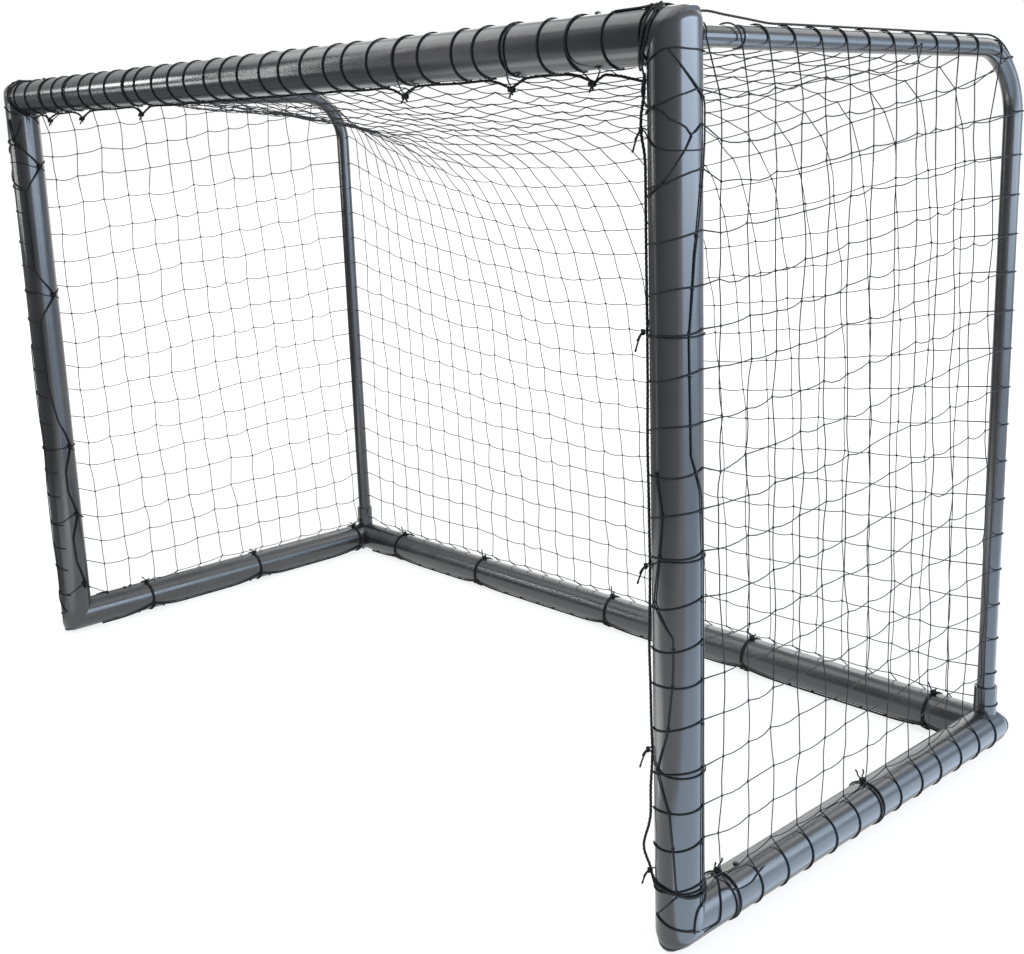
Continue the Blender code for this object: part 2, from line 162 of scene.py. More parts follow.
def circle(angles, one, two):
    """Directions at angles between two axes."""
    return np.cos(angles)[:, None] * one + np.sin(angles)[:, None] * two


def lengths(path):
    """Distance along a path at each of its points."""
    return np.concatenate([[0], np.cumsum(np.linalg.norm(np.diff(path, axis=0), axis=1))])


def by_length(path, shares):
    """Points at shares of a path's length."""
    path = np.asarray(path, float)
    along = lengths(path)
    return np.stack([np.interp(shares, along / along[-1], part) for part in path.T], 1)


def resample(path, step):
    """The same line with points a step apart."""
    count = max(2, int(round(lengths(path)[-1] / step)) + 1)
    return by_length(path, np.linspace(0, 1, count))


def smooth_line(keys, step):
    """A Catmull-Rom curve through key points, with points about a step apart."""
    keys = np.asarray(keys, float)
    padded = np.concatenate([[2 * keys[0] - keys[1]], keys, [2 * keys[-1] - keys[-2]]])
    line = []
    for a, b, c, d in zip(padded, padded[1:], padded[2:], padded[3:]):
        count = max(1, int(round(np.linalg.norm(c - b) / step)))
        for t in np.arange(count) / count:
            line.append(0.5 * (2 * b + (c - a) * t + (2 * a - 5 * b + 4 * c - d) * t ** 2
                               + (3 * b - a - 3 * c + d) * t ** 3))
    line.append(keys[-1])
    return np.array(line)


def frames(path, closed=False):
    """Normals and cross normals that turn as little as possible."""
    if closed:
        tangents = np.roll(path, -1, 0) - np.roll(path, 1, 0)
    else:
        tangents = np.gradient(path, axis=0)
    tangents /= np.linalg.norm(tangents, axis=1)[:, None] + 1e-12
    guess = np.eye(3)[np.argmin(np.abs(tangents[0]))]
    normals = np.empty_like(path)
    for k, tangent in enumerate(tangents):
        guess = guess - tangent * guess.dot(tangent)
        guess = guess / math.sqrt(guess.dot(guess))
        normals[k] = guess
    if closed:
        last = normals[-1] - tangents[0] * normals[-1].dot(tangents[0])
        across = np.cross(tangents[0], normals[0])
        miss = math.atan2(last.dot(across), last.dot(normals[0]))
        turn = -miss * np.arange(len(path)) / len(path)
        crossed = np.cross(tangents, normals)
        normals = normals * np.cos(turn)[:, None] + crossed * np.sin(turn)[:, None]
    return normals, np.cross(tangents, normals)


def ring_faces(rows, total, sides):
    """Quads between rings of points, where the last of all rings joins the first."""
    j, k = np.arange(rows)[:, None], np.arange(sides)[None, :]
    after_j, after_k = (j + 1) % total, (k + 1) % sides
    return np.stack([j * sides + k, j * sides + after_k, after_j * sides + after_k,
                     after_j * sides + k], -1).reshape(-1, 4)


def sweep(skin, path, radius, sides=6, closed=False):
    """A round tube along a path. radius is a number or one for each point."""
    path = np.asarray(path, float)
    n = len(path)
    normals, crossed = frames(path, closed)
    radius = np.broadcast_to(np.asarray(radius, float), (n,))
    angles = 2 * np.pi * np.arange(sides) / sides
    rim = (np.cos(angles)[None, :, None] * normals[:, None, :]
           + np.sin(angles)[None, :, None] * crossed[:, None, :])
    points = (path[:, None, :] + rim * radius[:, None, None]).reshape(-1, 3)
    along = lengths(path)
    rows = n - 1
    if closed:
        rows = n
        along = np.append(along, along[-1] + np.linalg.norm(path[0] - path[-1]))
    k = np.arange(sides)
    u0, u1, v0, v1 = (np.broadcast_to(part, (rows, sides)) for part in (
        along[:rows, None], along[1:rows + 1, None], k / sides, (k + 1) / sides))
    uvs = np.stack([u0, v0, u0, v1, u1, v1, u1, v0], -1).reshape(-1, 4, 2)
    skin.add(points, ring_faces(rows, n, sides), uvs)
    if not closed:
        cap(skin, points[:sides], -1)
        cap(skin, points[-sides:], 1)


def cap(skin, rim, order):
    """Closes an end with quads between the rim's halves: order -1 at the start, else 1."""
    sides = len(rim)
    skin.add(rim, [(k, k + 1, sides - 2 - k, sides - 1 - k)[::order]
                   for k in range(sides // 2 - 1)])


def lathe(skin, rings):
    """A closed surface through rings of points; the last ring joins the first."""
    skin.add(np.concatenate(rings), ring_faces(len(rings), len(rings), len(rings[0])))


def laid_rope(skin, path, radius):
    """Strands laid round each other along a path."""
    path = resample(path, ROPE_STEP)
    normals, crossed = frames(path)
    thick = radius * STRAND_SHARE
    offset = radius - thick
    for number in range(STRANDS):
        turn = 2 * np.pi * (lengths(path) / ROPE_LAY + number / STRANDS)
        sweep(skin, path + normals * (offset * np.cos(turn))[:, None]
              + crossed * (offset * np.sin(turn))[:, None], thick)


def knot_line(count, depth, size, turn):
    """Closed line of a small tight knot, sized and turned in its own plane."""
    t = 2 * np.pi * np.arange(count) / count
    flat = np.stack([np.sin(t) + 2 * np.sin(2 * t), np.cos(t) - 2 * np.cos(2 * t),
                     -depth * np.sin(3 * t)], 1) / 3 * size
    c, s = math.cos(turn), math.sin(turn)
    return flat @ np.array(((c, s, 0), (-s, c, 0), (0, 0, 1)))


# ---- Materials

class Graph:
    """A node tree being put together."""

    def __init__(self, tree):
        self.tree = tree

    def feed(self, socket, value):
        """Links an output to a socket, or sets the socket's own value."""
        if isinstance(value, bpy.types.NodeSocket):
            self.tree.links.new(value, socket)
        else:
            socket.default_value = value

    def node(self, kind, inputs=(), **settings):
        made = self.tree.nodes.new(kind)
        for key, value in settings.items():
            setattr(made, key, value)
        for key, value in dict(inputs).items():
            self.feed(made.inputs[key], value)
        return made

    def place(self):
        return self.node("ShaderNodeTexCoord").outputs["Object"]

    def math(self, operation, *values):
        return self.node("ShaderNodeMath", enumerate(values), operation=operation).outputs[0]

    def noise(self, scale, detail, vector, roughness=0.5):
        return self.node("ShaderNodeTexNoise", {
            "Scale": scale, "Detail": detail, "Roughness": roughness,
            "Vector": vector}).outputs["Fac"]

    def spread(self, value, low, high, new_low, new_high, **settings):
        return self.node("ShaderNodeMapRange", {
            "Value": value, "From Min": low, "From Max": high, "To Min": new_low,
            "To Max": new_high}, clamp=True, **settings).outputs["Result"]

    def mix(self, share, first, second):
        """A colour between two, each a tuple or an output."""
        made = self.node("ShaderNodeMix", data_type="RGBA")
        for key, value in ((0, share), (6, first), (7, second)):
            self.feed(made.inputs[key], (*value, 1.0) if isinstance(value, tuple) else value)
        return made.outputs[2]

    def seen_white(self):
        """1 for camera, glossy and transmission rays, else 0."""
        ray = self.node("ShaderNodeLightPath").outputs
        seen = self.math("MAXIMUM", ray["Is Camera Ray"], ray["Is Glossy Ray"])
        return self.math("MAXIMUM", seen, ray["Is Transmission Ray"])


class Look(Graph):
    """A material on the principled shader."""

    def __init__(self, name, colour, roughness, metallic=0.0):
        self.material = bpy.data.materials.new(name)
        self.material.use_nodes = True
        super().__init__(self.material.node_tree)
        self.shader = self.tree.nodes["Principled BSDF"]
        self.set("Base Color", (*colour, 1.0))
        self.set("Roughness", roughness)
        self.set("Metallic", metallic)
        self.material.diffuse_color = (*colour, 1.0)

    def set(self, socket, value):
        self.feed(self.shader.inputs[socket], value)

    def bump(self, *heights):
        """Stacked bumps: (height, strength, distance) each."""
        inputs = {}
        for height, strength, distance in heights:
            inputs.update({"Height": height, "Strength": strength, "Distance": distance})
            inputs["Normal"] = self.node("ShaderNodeBump", inputs).outputs["Normal"]
        self.set("Normal", inputs["Normal"])


def painted_steel(name, colour, roughness):
    """Satin powder coat: fine orange peel, soft smears, dust low down, rubbed spots."""
    look = Look(name, colour, roughness)
    look.set("IOR", 1.75)
    place = look.place()
    peel = look.noise(700.0, 2.0, place)
    waves = look.noise(60.0, 2.0, place)
    smears = look.noise(9.0, 4.0, place, 0.6)
    specks = look.noise(1500.0, 1.0, place)
    height = look.node("ShaderNodeSeparateXYZ", {"Vector": place}).outputs["Z"]
    dusty = look.math("MULTIPLY", look.spread(height, 0.0, 0.09, 1.0, 0.0),
                      look.spread(smears, 0.35, 0.7, 0.15, 0.55))
    rubbed = look.math("MULTIPLY", look.spread(specks, 0.70, 0.76, 0.0, 1.0),
                       look.spread(smears, 0.5, 0.62, 0.0, 1.0))
    lighter = tuple(1.6 * c for c in colour)
    tone = look.mix(look.spread(smears, 0.3, 0.7, 0.0, 1.0), colour, lighter)
    tone = look.mix(look.math("MULTIPLY", rubbed, 0.5), tone, (0.12, 0.12, 0.125))
    tone = look.mix(look.math("MULTIPLY", dusty, 0.35), tone, (0.10, 0.095, 0.09))
    look.set("Base Color", tone)
    rough = look.spread(smears, 0.25, 0.75, roughness - 0.05, roughness + 0.07)
    look.set("Roughness", look.math("ADD", rough, look.math("MULTIPLY", dusty, 0.35)))
    look.bump((peel, 0.09, 0.0004), (waves, 0.06, 0.0012))
    return look.material


def moulded(name, colour, roughness):
    """Moulded plastic with a fine grain."""
    look = Look(name, colour, roughness)
    place = look.place()
    grain = look.noise(1800.0, 2.0, place)
    cloud = look.noise(40.0, 3.0, place)
    look.set("Base Color", look.mix(cloud, colour, tuple(1.6 * c for c in colour)))
    look.set("Roughness", look.spread(cloud, 0.3, 0.7, roughness - 0.08, roughness + 0.06))
    look.bump((grain, 0.3, 0.0002))
    return look.material


def spring_steel(name, colour, roughness):
    """Blackened steel, brushed and rubbed bright in places."""
    look = Look(name, colour, roughness, 0.85)
    place = look.place()
    cloud = look.noise(500.0, 4.0, place)
    fine = look.noise(4000.0, 2.0, place)
    bright = look.spread(cloud, 0.52, 0.68, 0.0, 1.0)
    look.set("Base Color", look.mix(bright, colour, (0.22, 0.22, 0.225)))
    look.set("Roughness", look.spread(cloud, 0.3, 0.7, roughness + 0.1, roughness - 0.08))
    look.bump((fine, 0.25, 0.0001))
    return look.material


def fibre(name, colour, roughness, pitch, plait):
    """Cord of fine black filaments: laid in one direction, or plaited, with a painted highlight
    on the crests of the lay.
    """
    look = Look(name, colour, roughness)
    uv = look.node("ShaderNodeUVMap", uv_map="UVMap").outputs["UV"]
    parts = look.node("ShaderNodeSeparateXYZ", {"Vector": uv}).outputs
    along = look.math("DIVIDE", parts["X"], pitch)

    def ridge(operation):
        turns = look.math(operation, along, parts["Y"])
        return look.math("SINE", look.math("MULTIPLY", turns, 2 * math.pi))

    ridges = ridge("ADD")
    if plait:
        ridges = look.math("MAXIMUM", ridges, ridge("SUBTRACT"))
    place = look.place()
    fuzz = look.noise(3500.0, 3.0, place)
    cloud = look.noise(25.0, 3.0, place)
    # Paler tone: painted highlight on the lay's crests, so its grooves read as painted shade, and
    # random lighter patches
    paler_tone_and_highlight = tuple(2.2 * c + 0.002 for c in colour)
    tone = look.mix(look.spread(ridges, -1.0, 1.0, 0.0, 0.55), colour, paler_tone_and_highlight)
    look.set("Base Color", look.mix(look.spread(cloud, 0.45, 0.75, 0.0, 0.5), tone, paler_tone_and_highlight))
    look.set("Roughness", look.spread(fuzz, 0.3, 0.7, roughness - 0.1, roughness + 0.1))
    look.bump((ridges, 0.6, 0.0002), (fuzz, 0.5, 0.0001))
    look.set("Specular IOR Level", 0.22)
    return look.material


PAINT = painted_steel("goal_paint", (0.0115, 0.0125, 0.0150), 0.18)
PLASTIC = moulded("black_moulding", (0.016, 0.016, 0.018), 0.55)
STEEL = spring_steel("black_spring_steel", (0.035, 0.035, 0.038), 0.38)
NET = fibre("net_fibre", (0.0070, 0.0075, 0.0085), 0.55, 0.0045, False)
ROPE = fibre("rope_fibre", (0.0070, 0.0072, 0.0080), 0.60, 0.0030, False)
TIE = fibre("tie_fibre", (0.0065, 0.0065, 0.0072), 0.62, 0.0026, True)

for node_name, node in nodes.items():
    kind = node_name.split("_")[0]
    node.data.materials.clear()
    node.data.materials.append({"button": STEEL, "elbow": PLASTIC}.get(kind, PAINT))


# ---- Painted tubes

TUBE_SIDES = 72
STAY_SIDES = 48
SHARP = 60                   # degrees
CORNER_R = 0.015             # rounding at the outside of a mitre
MITRE_STEP = 0.002           # between the first and last ring of a mitre, at its inside
CORNER_RINGS = (0.012, 0.05)
HOLE_RING = 0.007            # from a hole's middle
HOLE_R = 0.0038
STAY_HOLE_R = 0.0033
DRILL_SIDES = 28
DRILL_SPAN = (0.015, 0.050)  # from its seat, outwards
STAY_SEAT = 0.0085           # the drill's, behind a stay's centre line
RIM_ROLL = 0.0007            # how far a stay's front rim turns inwards
RIM_RINGS = (0.0029, 0.0009)  # the last full rings, behind that rim


def straight_tube(node, start, end, start_leg, end_leg, holes=()):
    """A mitred tube between two corners, rounded over at the outside of each.

    A leg is the direction in which the other tube leaves that corner. Holes
    are (distance from the start, outward direction).
    """
    start, end = np.array(start, float), np.array(end, float)
    length = np.linalg.norm(end - start)
    axis = (end - start) / length
    angles = 2 * np.pi * (np.arange(TUBE_SIDES) + 0.5) / TUBE_SIDES
    rim = circle(angles, start_leg, np.cross(axis, start_leg))

    def ring(radius, plane):
        return start + rim * radius + axis * plane

    def mitre(radius, turn, at_end):
        """A ring part of the way round the rounded corner, up to 45 degrees."""
        leg = end_leg if at_end else start_leg
        offset = rim * radius
        outer = -(offset @ leg)
        bend = CORNER_R * np.clip(outer / TUBE_R, 0, 1)
        reach = outer - bend * (1 - math.sin(turn)) - MITRE_STEP * (1 - turn / (math.pi / 4))
        offset = offset + leg * (bend * (1 - math.cos(turn)))[:, None]
        return start + offset + axis * (length + reach if at_end else -reach)[:, None]

    planes = [length / 2]
    for inset in CORNER_RINGS:
        planes += [TUBE_R + inset, length - TUBE_R - inset]
    for distance, _ in holes:
        planes += [distance - HOLE_RING, distance + HOLE_RING]
    bore_r = TUBE_R - TUBE_WALL
    turns = np.radians((0, 9, 18, 27, 36, 45))
    rings = [mitre(bore_r, turns[-1], False)]
    rings += [mitre(TUBE_R, turn, False) for turn in turns[::-1]]
    rings += [ring(TUBE_R, plane) for plane in sorted(planes)]
    rings += [mitre(TUBE_R, turn, True) for turn in turns]
    rings += [mitre(bore_r, turns[-1], True), ring(bore_r, length / 2)]
    skin = Skin()
    lathe(skin, [r[::-1] for r in rings])
    tube = skin.make("tube_" + node.replace("_bar", ""), PAINT, SHARP)
    for distance, outward in holes:
        drill(tube, start + (0, FRONT_Y, 0) + axis * distance, outward, HOLE_R)
    dress(tube, [node])


def drill(target, seat, outward, radius):
    """Cuts a round hole from a seat outward, and keeps the result."""
    turn = Vector(outward).to_track_quat("Z", "Y").to_matrix()
    rim = radius * circle(2 * np.pi * np.arange(DRILL_SIDES) / DRILL_SIDES, X, Y)
    points = [tuple(Vector(seat) + turn @ Vector(spot))
              for height in DRILL_SPAN for spot in rim + height * Z]
    faces = [tuple(range(DRILL_SIDES))[::-1], tuple(range(DRILL_SIDES, 2 * DRILL_SIDES))]
    faces += ring_faces(1, 2, DRILL_SIDES).tolist()
    mesh = bpy.data.meshes.new("drill")
    mesh.from_pydata(points, [], faces)
    cutter = bpy.data.objects.new("drill", mesh)
    bpy.context.scene.collection.objects.link(cutter)
    step = target.modifiers.new("drill", "BOOLEAN")
    step.operation = "DIFFERENCE"
    step.solver = "EXACT"
    step.object = cutter
    bpy.context.view_layer.update()
    shaped = target.evaluated_get(bpy.context.evaluated_depsgraph_get())
    done = bpy.data.meshes.new_from_object(shaped)
    target.modifiers.clear()
    target.data = done
    bpy.data.objects.remove(cutter)


for side, sign in SIDES:
    foot, head, rear = ((sign * POST_X, y, z) for y, z in (
        (0, BASE_Z), (0, BEAM_Z), (DEPTH, BASE_Z)))
    straight_tube("post_" + side, foot, head, Y, -sign * X)
    straight_tube("ground_bar_" + side, foot, rear, Z, -sign * X, [(BUTTON_REACH, Z)])
for node, y, z, outward in (("crossbar", 0, BEAM_Z, Z), ("ground_bar_rear", DEPTH, BASE_Z, Y)):
    straight_tube(node, (-POST_X, y, z), (POST_X, y, z), -outward, -outward,
                  [(BUTTON_REACH, outward), (2 * POST_X - BUTTON_REACH, outward)])


def bend_points(reach, count):
    """Points (y, z) round the stay's bend, from its upright part on."""
    return [(DEPTH - STAY_BEND + reach * math.cos(angle),
             BEAM_Z - STAY_BEND + reach * math.sin(angle))
            for angle in np.linspace(0, math.pi / 2, count)]


def stay_path(lift=0.0):
    """Centre line of a stay in the (y, z) plane, moved out by a lift."""
    path = [(DEPTH + lift, SOCKET_TOP - 0.03)]
    path += [(DEPTH + lift, z) for z in np.linspace(SOCKET_TOP, BEAM_Z - STAY_BEND, 6)]
    path += bend_points(STAY_BEND + lift, 25)[1:]
    path += [(y, BEAM_Z + lift) for y in np.linspace(DEPTH - STAY_BEND, STAY_FRONT, 5)[1:]]
    return path


def stay_tube(side, sign):
    """Bent tube with a rolled rim at its front end."""
    path = np.array([(sign * POST_X, y, z) for y, z in stay_path()])
    normals, crossed = frames(path)
    angles = 2 * np.pi * (np.arange(STAY_SIDES) + 0.5) / STAY_SIDES
    ahead = (path[-1] - path[-2]) / np.linalg.norm(path[-1] - path[-2])
    last = len(path) - 1

    def ring(k, radius, back=0.0):
        return path[k] - ahead * back + radius * circle(angles, normals[k], crossed[k])

    rings = [ring(k, STAY_R) for k in range(last)]
    rings += [ring(last, STAY_R, back) for back in RIM_RINGS]
    rings.append(ring(last, STAY_R - RIM_ROLL))
    rings += [ring(k, STAY_R - STAY_WALL) for k in reversed(range(last + 1))]
    skin = Skin()
    lathe(skin, rings)
    tube = skin.make("tube_stay_" + side, PAINT, SHARP)
    seat = (sign * (POST_X + STAY_SEAT), FRONT_Y + STAY_FRONT + STAY_BUTTON_REACH, BEAM_Z)
    drill(tube, seat, -sign * X, STAY_HOLE_R)
    dress(tube, ["stay_" + side])


for side, sign in SIDES:
    stay_tube(side, sign)


# ---- Roof and back of the net

ROWS = 30
COLUMNS = 32
SHEET_HALF = 0.79
ROW_DRIFT = 0.0975           # rows lie wider apart low down, closer at the crossbar
SLACK = 1.83                 # how flat the sheet hangs across its middle
NET_LOW = 0.071              # height of the first row, over the rear bar
NET_FRONT = 0.033            # where the roof reaches the crossbar
NET_SAG = ((DEPTH, NET_LOW), (DEPTH, 1.174), (0.473, 0.892), (NET_FRONT, BEAM_Z))
BEAM_RING, BEAM_PITCH = -0.770, 0.0518    # the cords round the crossbar
BEAM_ROWS = 7                # rows over which the columns turn to those
SPAN_PARTS = 3
SPAN_SAG, SPAN_DRIFT = 0.0015, 0.0008       # of the cord between two knots


def edge_line():
    """The stay's centre line from just above the rear bar to the crossbar."""
    return [(DEPTH, NET_LOW)] + bend_points(STAY_BEND, 33) + [(NET_FRONT, BEAM_Z)]


def middle_line():
    """The hanging curve of the net half way between the stays."""
    keys = np.array(NET_SAG)
    t = np.linspace(0, 1, 200)[:, None]
    return ((1 - t) ** 3 * keys[0] + 3 * t * (1 - t) ** 2 * keys[1]
            + 3 * t * t * (1 - t) * keys[2] + t ** 3 * keys[3])


shares = np.arange(ROWS + 1) / ROWS
shares = shares + ROW_DRIFT * shares ** 2 * (1 - shares)
EDGE = by_length(edge_line(), shares)
MIDDLE = by_length(middle_line(), shares)
ahead, behind = (by_length(edge_line(), np.clip(shares + step, 0, 1))
                 for step in (0.002, -0.002))
run = (ahead - behind) / np.linalg.norm(ahead - behind, axis=1)[:, None]
EDGE_OUT = np.stack([run[:, 1], -run[:, 0]], 1)


def ripple(points, size, scale, seed):
    """Smooth pseudo-random shifts of points, the same on every run."""
    source = np.random.default_rng(seed)
    shift = np.zeros_like(points)
    for octave in range(4):
        waves = source.normal(0, scale * (1.0 + 0.7 * octave), (3, 3))
        phase = source.uniform(0, 2 * np.pi, 3)
        shift += np.sin(points @ waves.T + phase) / (1 + 0.5 * octave)
    return shift * size / 2.0


def ring_x(i):
    """Where column i of the sheet crosses the crossbar."""
    x = BEAM_RING + (i - 1) * BEAM_PITCH
    return x + 0.004 * math.sin(2.3 * i) + 0.002 * math.sin(5.1 * i)


def sheet_knots():
    """Knots of the roof and back: [row][column] with rows from the rear bar up."""
    grid = np.zeros((ROWS, COLUMNS + 1, 3))
    for i in range(COLUMNS + 1):
        u = 2 * i / COLUMNS - 1
        slack = 1 - abs(u) ** SLACK
        for j in range(ROWS):
            y, z = EDGE[j] + (MIDDLE[j] - EDGE[j]) * slack
            x = SHEET_HALF * u
            if 0 < i < COLUMNS:
                x += (ring_x(i) - x) * max(0.0, (j - ROWS + BEAM_ROWS) / BEAM_ROWS) ** 1.5
            grid[j, i] = (x, y, z)
    flat = grid.reshape(-1, 3)
    flat += ripple(flat, 0.0030, 9.0, 3) * (0.4, 1.0, 1.0)
    flat += rng.normal(0, 1, flat.shape) * (0.0016, 0.0010, 0.0012)
    return flat.reshape(grid.shape)


def touch(point, centre, radius, turn):
    """Angle at which a line from point meets a circle and then runs round it."""
    d = (point[0] - centre[0], point[1] - centre[1])
    reach = max(math.hypot(*d), radius * 1.0001)
    return math.atan2(d[1], d[0]) + turn * math.acos(radius / reach)


def arc_from(point, centre, radius, end, turn, step=0.25):
    """2D points from where a line from point meets a circle, round it to an angle."""
    start = touch(point, centre, radius, turn)
    span = (end - start) * turn % (2 * math.pi)
    if span > 1.75 * math.pi:
        span = 0.0
    count = max(1, int(math.ceil(span / step)))
    return [(centre[0] + radius * math.cos(start + turn * span * k / count),
             centre[1] + radius * math.sin(start + turn * span * k / count))
            for k in range(count + 1)]


def hung(knots, sag=SPAN_SAG):
    """A line through knots with slack, slightly bowed spans."""
    shares = np.arange(1, SPAN_PARTS)[:, None] / SPAN_PARTS
    line = [knots[0]]
    for a, b in zip(knots, knots[1:]):
        level = 1.0 - abs(b[2] - a[2]) / (np.linalg.norm(b - a) + 1e-9)
        bow = rng.normal(0, SPAN_DRIFT, 3)
        bow[2] -= abs(rng.normal(0, sag)) * level + sag * 0.6 * level
        line.extend(a + (b - a) * shares + bow * (4 * shares * (1 - shares)))
        line.append(b)
    return line


def tie_knot(skin, centre, east, north, size=0.0016, thick=0.0007, sides=5):
    """A netting knot, its long way from upper left to lower right."""
    east = east / (np.linalg.norm(east) + 1e-12)
    north = north - east * north.dot(east)
    north = north / (np.linalg.norm(north) + 1e-12)
    shape = knot_line(14, 1.3, np.array((1.35, 0.85, 0.8)) * size * rng.uniform(0.85, 1.15),
                      rng.uniform(-0.9, -0.4))
    line = centre + shape @ np.stack([east, north, np.cross(east, north)])
    sweep(skin, line, thick, sides, closed=True)


# ---- Side panels

PANEL_ROWS = 19
PANEL_COLUMNS = 13
RING_START, RING_PITCH = 0.0825, 0.0515     # rows up the post
TOP_START, TOP_PITCH = 0.056, 0.050         # columns along the stay
LOW_START, LOW_PITCH = 0.074, 0.0548        # columns along the ground bar
PANEL_X, PANEL_LEAN = 0.8245, 0.0115        # place at the top, and inwards at the floor
PANEL_TOP = 1.046                           # no knots above this
LAST_DIAGONAL = 28                          # nor beyond this row plus column
CORNER_ROW = 15                             # rows above this end on the bend


def ring_z(r):
    """Height of the panel's row r where it meets the post."""
    return (RING_START + RING_PITCH * r + 0.004 * math.sin(1.7 * r)
            - 0.0008 * max(0, r - 14) ** 1.5)


def panel_knots(seed):
    """Knots of a side panel: {(row, column): point}, for the side at +X."""
    knots = {}
    for c in range(PANEL_COLUMNS):
        top_y, top_z = TOP_START + TOP_PITCH * c, EDGE[ROWS - c][1] if c else BEAM_Z
        low_y = LOW_START + LOW_PITCH * c
        for r in range(PANEL_ROWS):
            rear_y, rear_z = EDGE[r] if r > CORNER_ROW else (DEPTH, EDGE[r][1])
            front_z = ring_z(r) + 0.002 - 0.0225 * max(0.0, 1.0 - ring_z(r))
            y, z = low_y, front_z
            for _ in range(6):
                g = min(1.0, max(0.0, y / rear_y))
                z = front_z + (rear_z - front_z) * g
                f = min(1.0, max(0.0, (z - 0.05) / (top_z - 0.05)))
                y = low_y + (top_y - low_y) * f
            if z <= PANEL_TOP and r + c <= LAST_DIAGONAL:
                x = PANEL_X - PANEL_LEAN * (1 - min(1.0, z)) ** 1.5
                knots[r, c] = np.array((x, y, z))
    spots = np.array(list(knots.values()))
    spots += ripple(spots, 0.0036, 11.0, seed) * (0.8, 1.0, 1.0)
    spots += rng.normal(0, 1, spots.shape) * (0.0010, 0.0016, 0.0020)
    spots[:, 0] = np.clip(spots[:, 0], 0.8105, 0.835)
    return dict(zip(knots, spots))


POST_ROPE = {"left": math.radians(-140), "right": math.radians(-138)}
BAR_ROPE = REAR_ROPE = math.radians(-122)
BEAM_ROPE = math.radians(281)
WRAP_R = TUBE_R + WRAP_CORD_R + 0.0001

# Columns down the posts' faces: heights and degrees round the post
FACE_COLUMN = ((0.06, 0.30, 0.50, 0.575, 0.62, 0.75, 0.84, 0.90, 0.932, 0.97, 0.995, 1.004,
                1.014, 1.028, 1.045, 1.054),
               (8, 14, 16, 8, -20, -24, -10, 8, 19, 33, 36, 24, 0, -24, -48, -63))
INNER_COLUMN = ((0.086, 0.136, 0.187, 0.238, 0.288, 0.345, 0.374, 0.406, 0.445, 0.501,
                 0.55, 0.60),
                (-58, -64, -73, -106, -76, -64, -61, -61, -111, -93, -84, -100))


def face_angle(side, z, column):
    """Angle round the post of a column that runs down it."""
    if side == "left":
        return math.radians(4 + 12 * math.sin(23 * z + 2) + (0 if column is FACE_COLUMN else -82))
    return math.radians(np.interp(z, *column))


def stay_wrap(j, inner, outer, sign):
    """Points over the stay for row j, from the sheet's last knot to the panel."""
    seat, out = EDGE[j], EDGE_OUT[j]
    along = np.array((-out[1], out[0]))
    radius = STAY_R + WRAP_CORD_R + 0.0001
    if seat[1] < SOCKET_TOP + 0.004:
        radius = SOCKET_R + WRAP_CORD_R + 0.0002
    centre = (POST_X, 0.0)
    near, far = ((abs(point[0]), (point[1:] - seat) @ out) for point in (inner, outer))
    a, b = ((point[1:] - seat) @ along for point in (inner, outer))
    curve = arc_from(near, centre, radius, touch(far, centre, radius, 1), -1)
    line = []
    for k, (x, n) in enumerate(curve):
        share = (k + 1) / (len(curve) + 1)
        drift = (a + (b - a) * share) * 0.5
        line.append(np.array((sign * x, *(seat + out * n + along * drift))))
    return line


def bar_wrap(knot, sign):
    """Points from a panel's lowest knot round the ground bar to the edge rope."""
    curve = arc_from((abs(knot[0]), knot[2]), (POST_X, BASE_Z), WRAP_R, BAR_ROPE, -1)
    drift = rng.normal(0, 0.002)
    line = []
    for k, (x, z) in enumerate(curve):
        share = k / max(1, len(curve) - 1)
        y = knot[1] + 0.004 * share + drift * share ** 2
        line.append(np.array((sign * x, y, max(z, WRAP_CORD_R))))
    return line


# Points on a tube: distance along it, angle round it, reach from its centre line

def post_place(z, angle, reach, sign):
    return np.array((sign * (POST_X + reach * math.cos(angle)), reach * math.sin(angle), z))


def bar_place(y, angle, reach, sign):
    z = BASE_Z + reach * math.sin(angle)
    return np.array((sign * (POST_X + reach * math.cos(angle)), y, max(z, reach - TUBE_R)))


def beam_place(x, angle, reach, sign=1):
    return np.array((sign * x, reach * math.cos(angle), BEAM_Z + reach * math.sin(angle)))


def rear_place(x, angle, reach, sign=1):
    z = BASE_Z + reach * math.sin(angle)
    return np.array((sign * x, DEPTH + reach * math.cos(angle), max(z, ROPE_R)))


def wound(course, place, sign):
    """A cord's points on a tube, through (distance along, degrees round, lift) keys."""
    keys = [(at, TUBE_R * math.radians(turn), *(lift or [0])) for at, turn, *lift in course]
    return [place(at, turn / TUBE_R, WRAP_R + max(lift, 0.0), sign)
            for at, turn, lift in smooth_line(keys, COURSE_STEP)]


# Rows 16 to 18 cross the post at a slant: degrees round it and heights
SLANTED = {16: ((-138, -71, -45, -21, 19), (0.910, 0.917, 0.923, 0.928, 0.932)),
           17: ((-138, -100, -76, -60, -41, -27, -16, 6, 39),
                (0.998, 0.996, 0.991, 0.983, 0.979, 0.974, 0.966, 0.975, 0.986)),
           18: ((-138, -97, -76, -50, -24, 0, 27),
                (0.990, 0.998, 1.000, 1.006, 1.010, 1.014, 1.012))}


def post_wrap(knot, r, side, sign):
    """Points from a panel's first knot round the post to the edge rope."""
    curve = arc_from((abs(knot[0]), knot[1]), (POST_X, 0.0), WRAP_R, POST_ROPE[side], -1, 0.2)
    line = []
    wave = rng.uniform(0, 6)
    for k, (x, y) in enumerate(curve):
        share = k / max(1, len(curve) - 1)
        z = ring_z(r) + 0.009 * (1 - share) - 0.003 * share
        z += 0.002 * math.sin(5 * share + wave)
        if r in SLANTED:
            angle = math.degrees(math.atan2(y, x - POST_X))
            z = float(np.interp(angle, *SLANTED[r])) - (0.012 if side == "left" else 0.0)
        line.append(np.array((sign * x, y, z)))
    return line


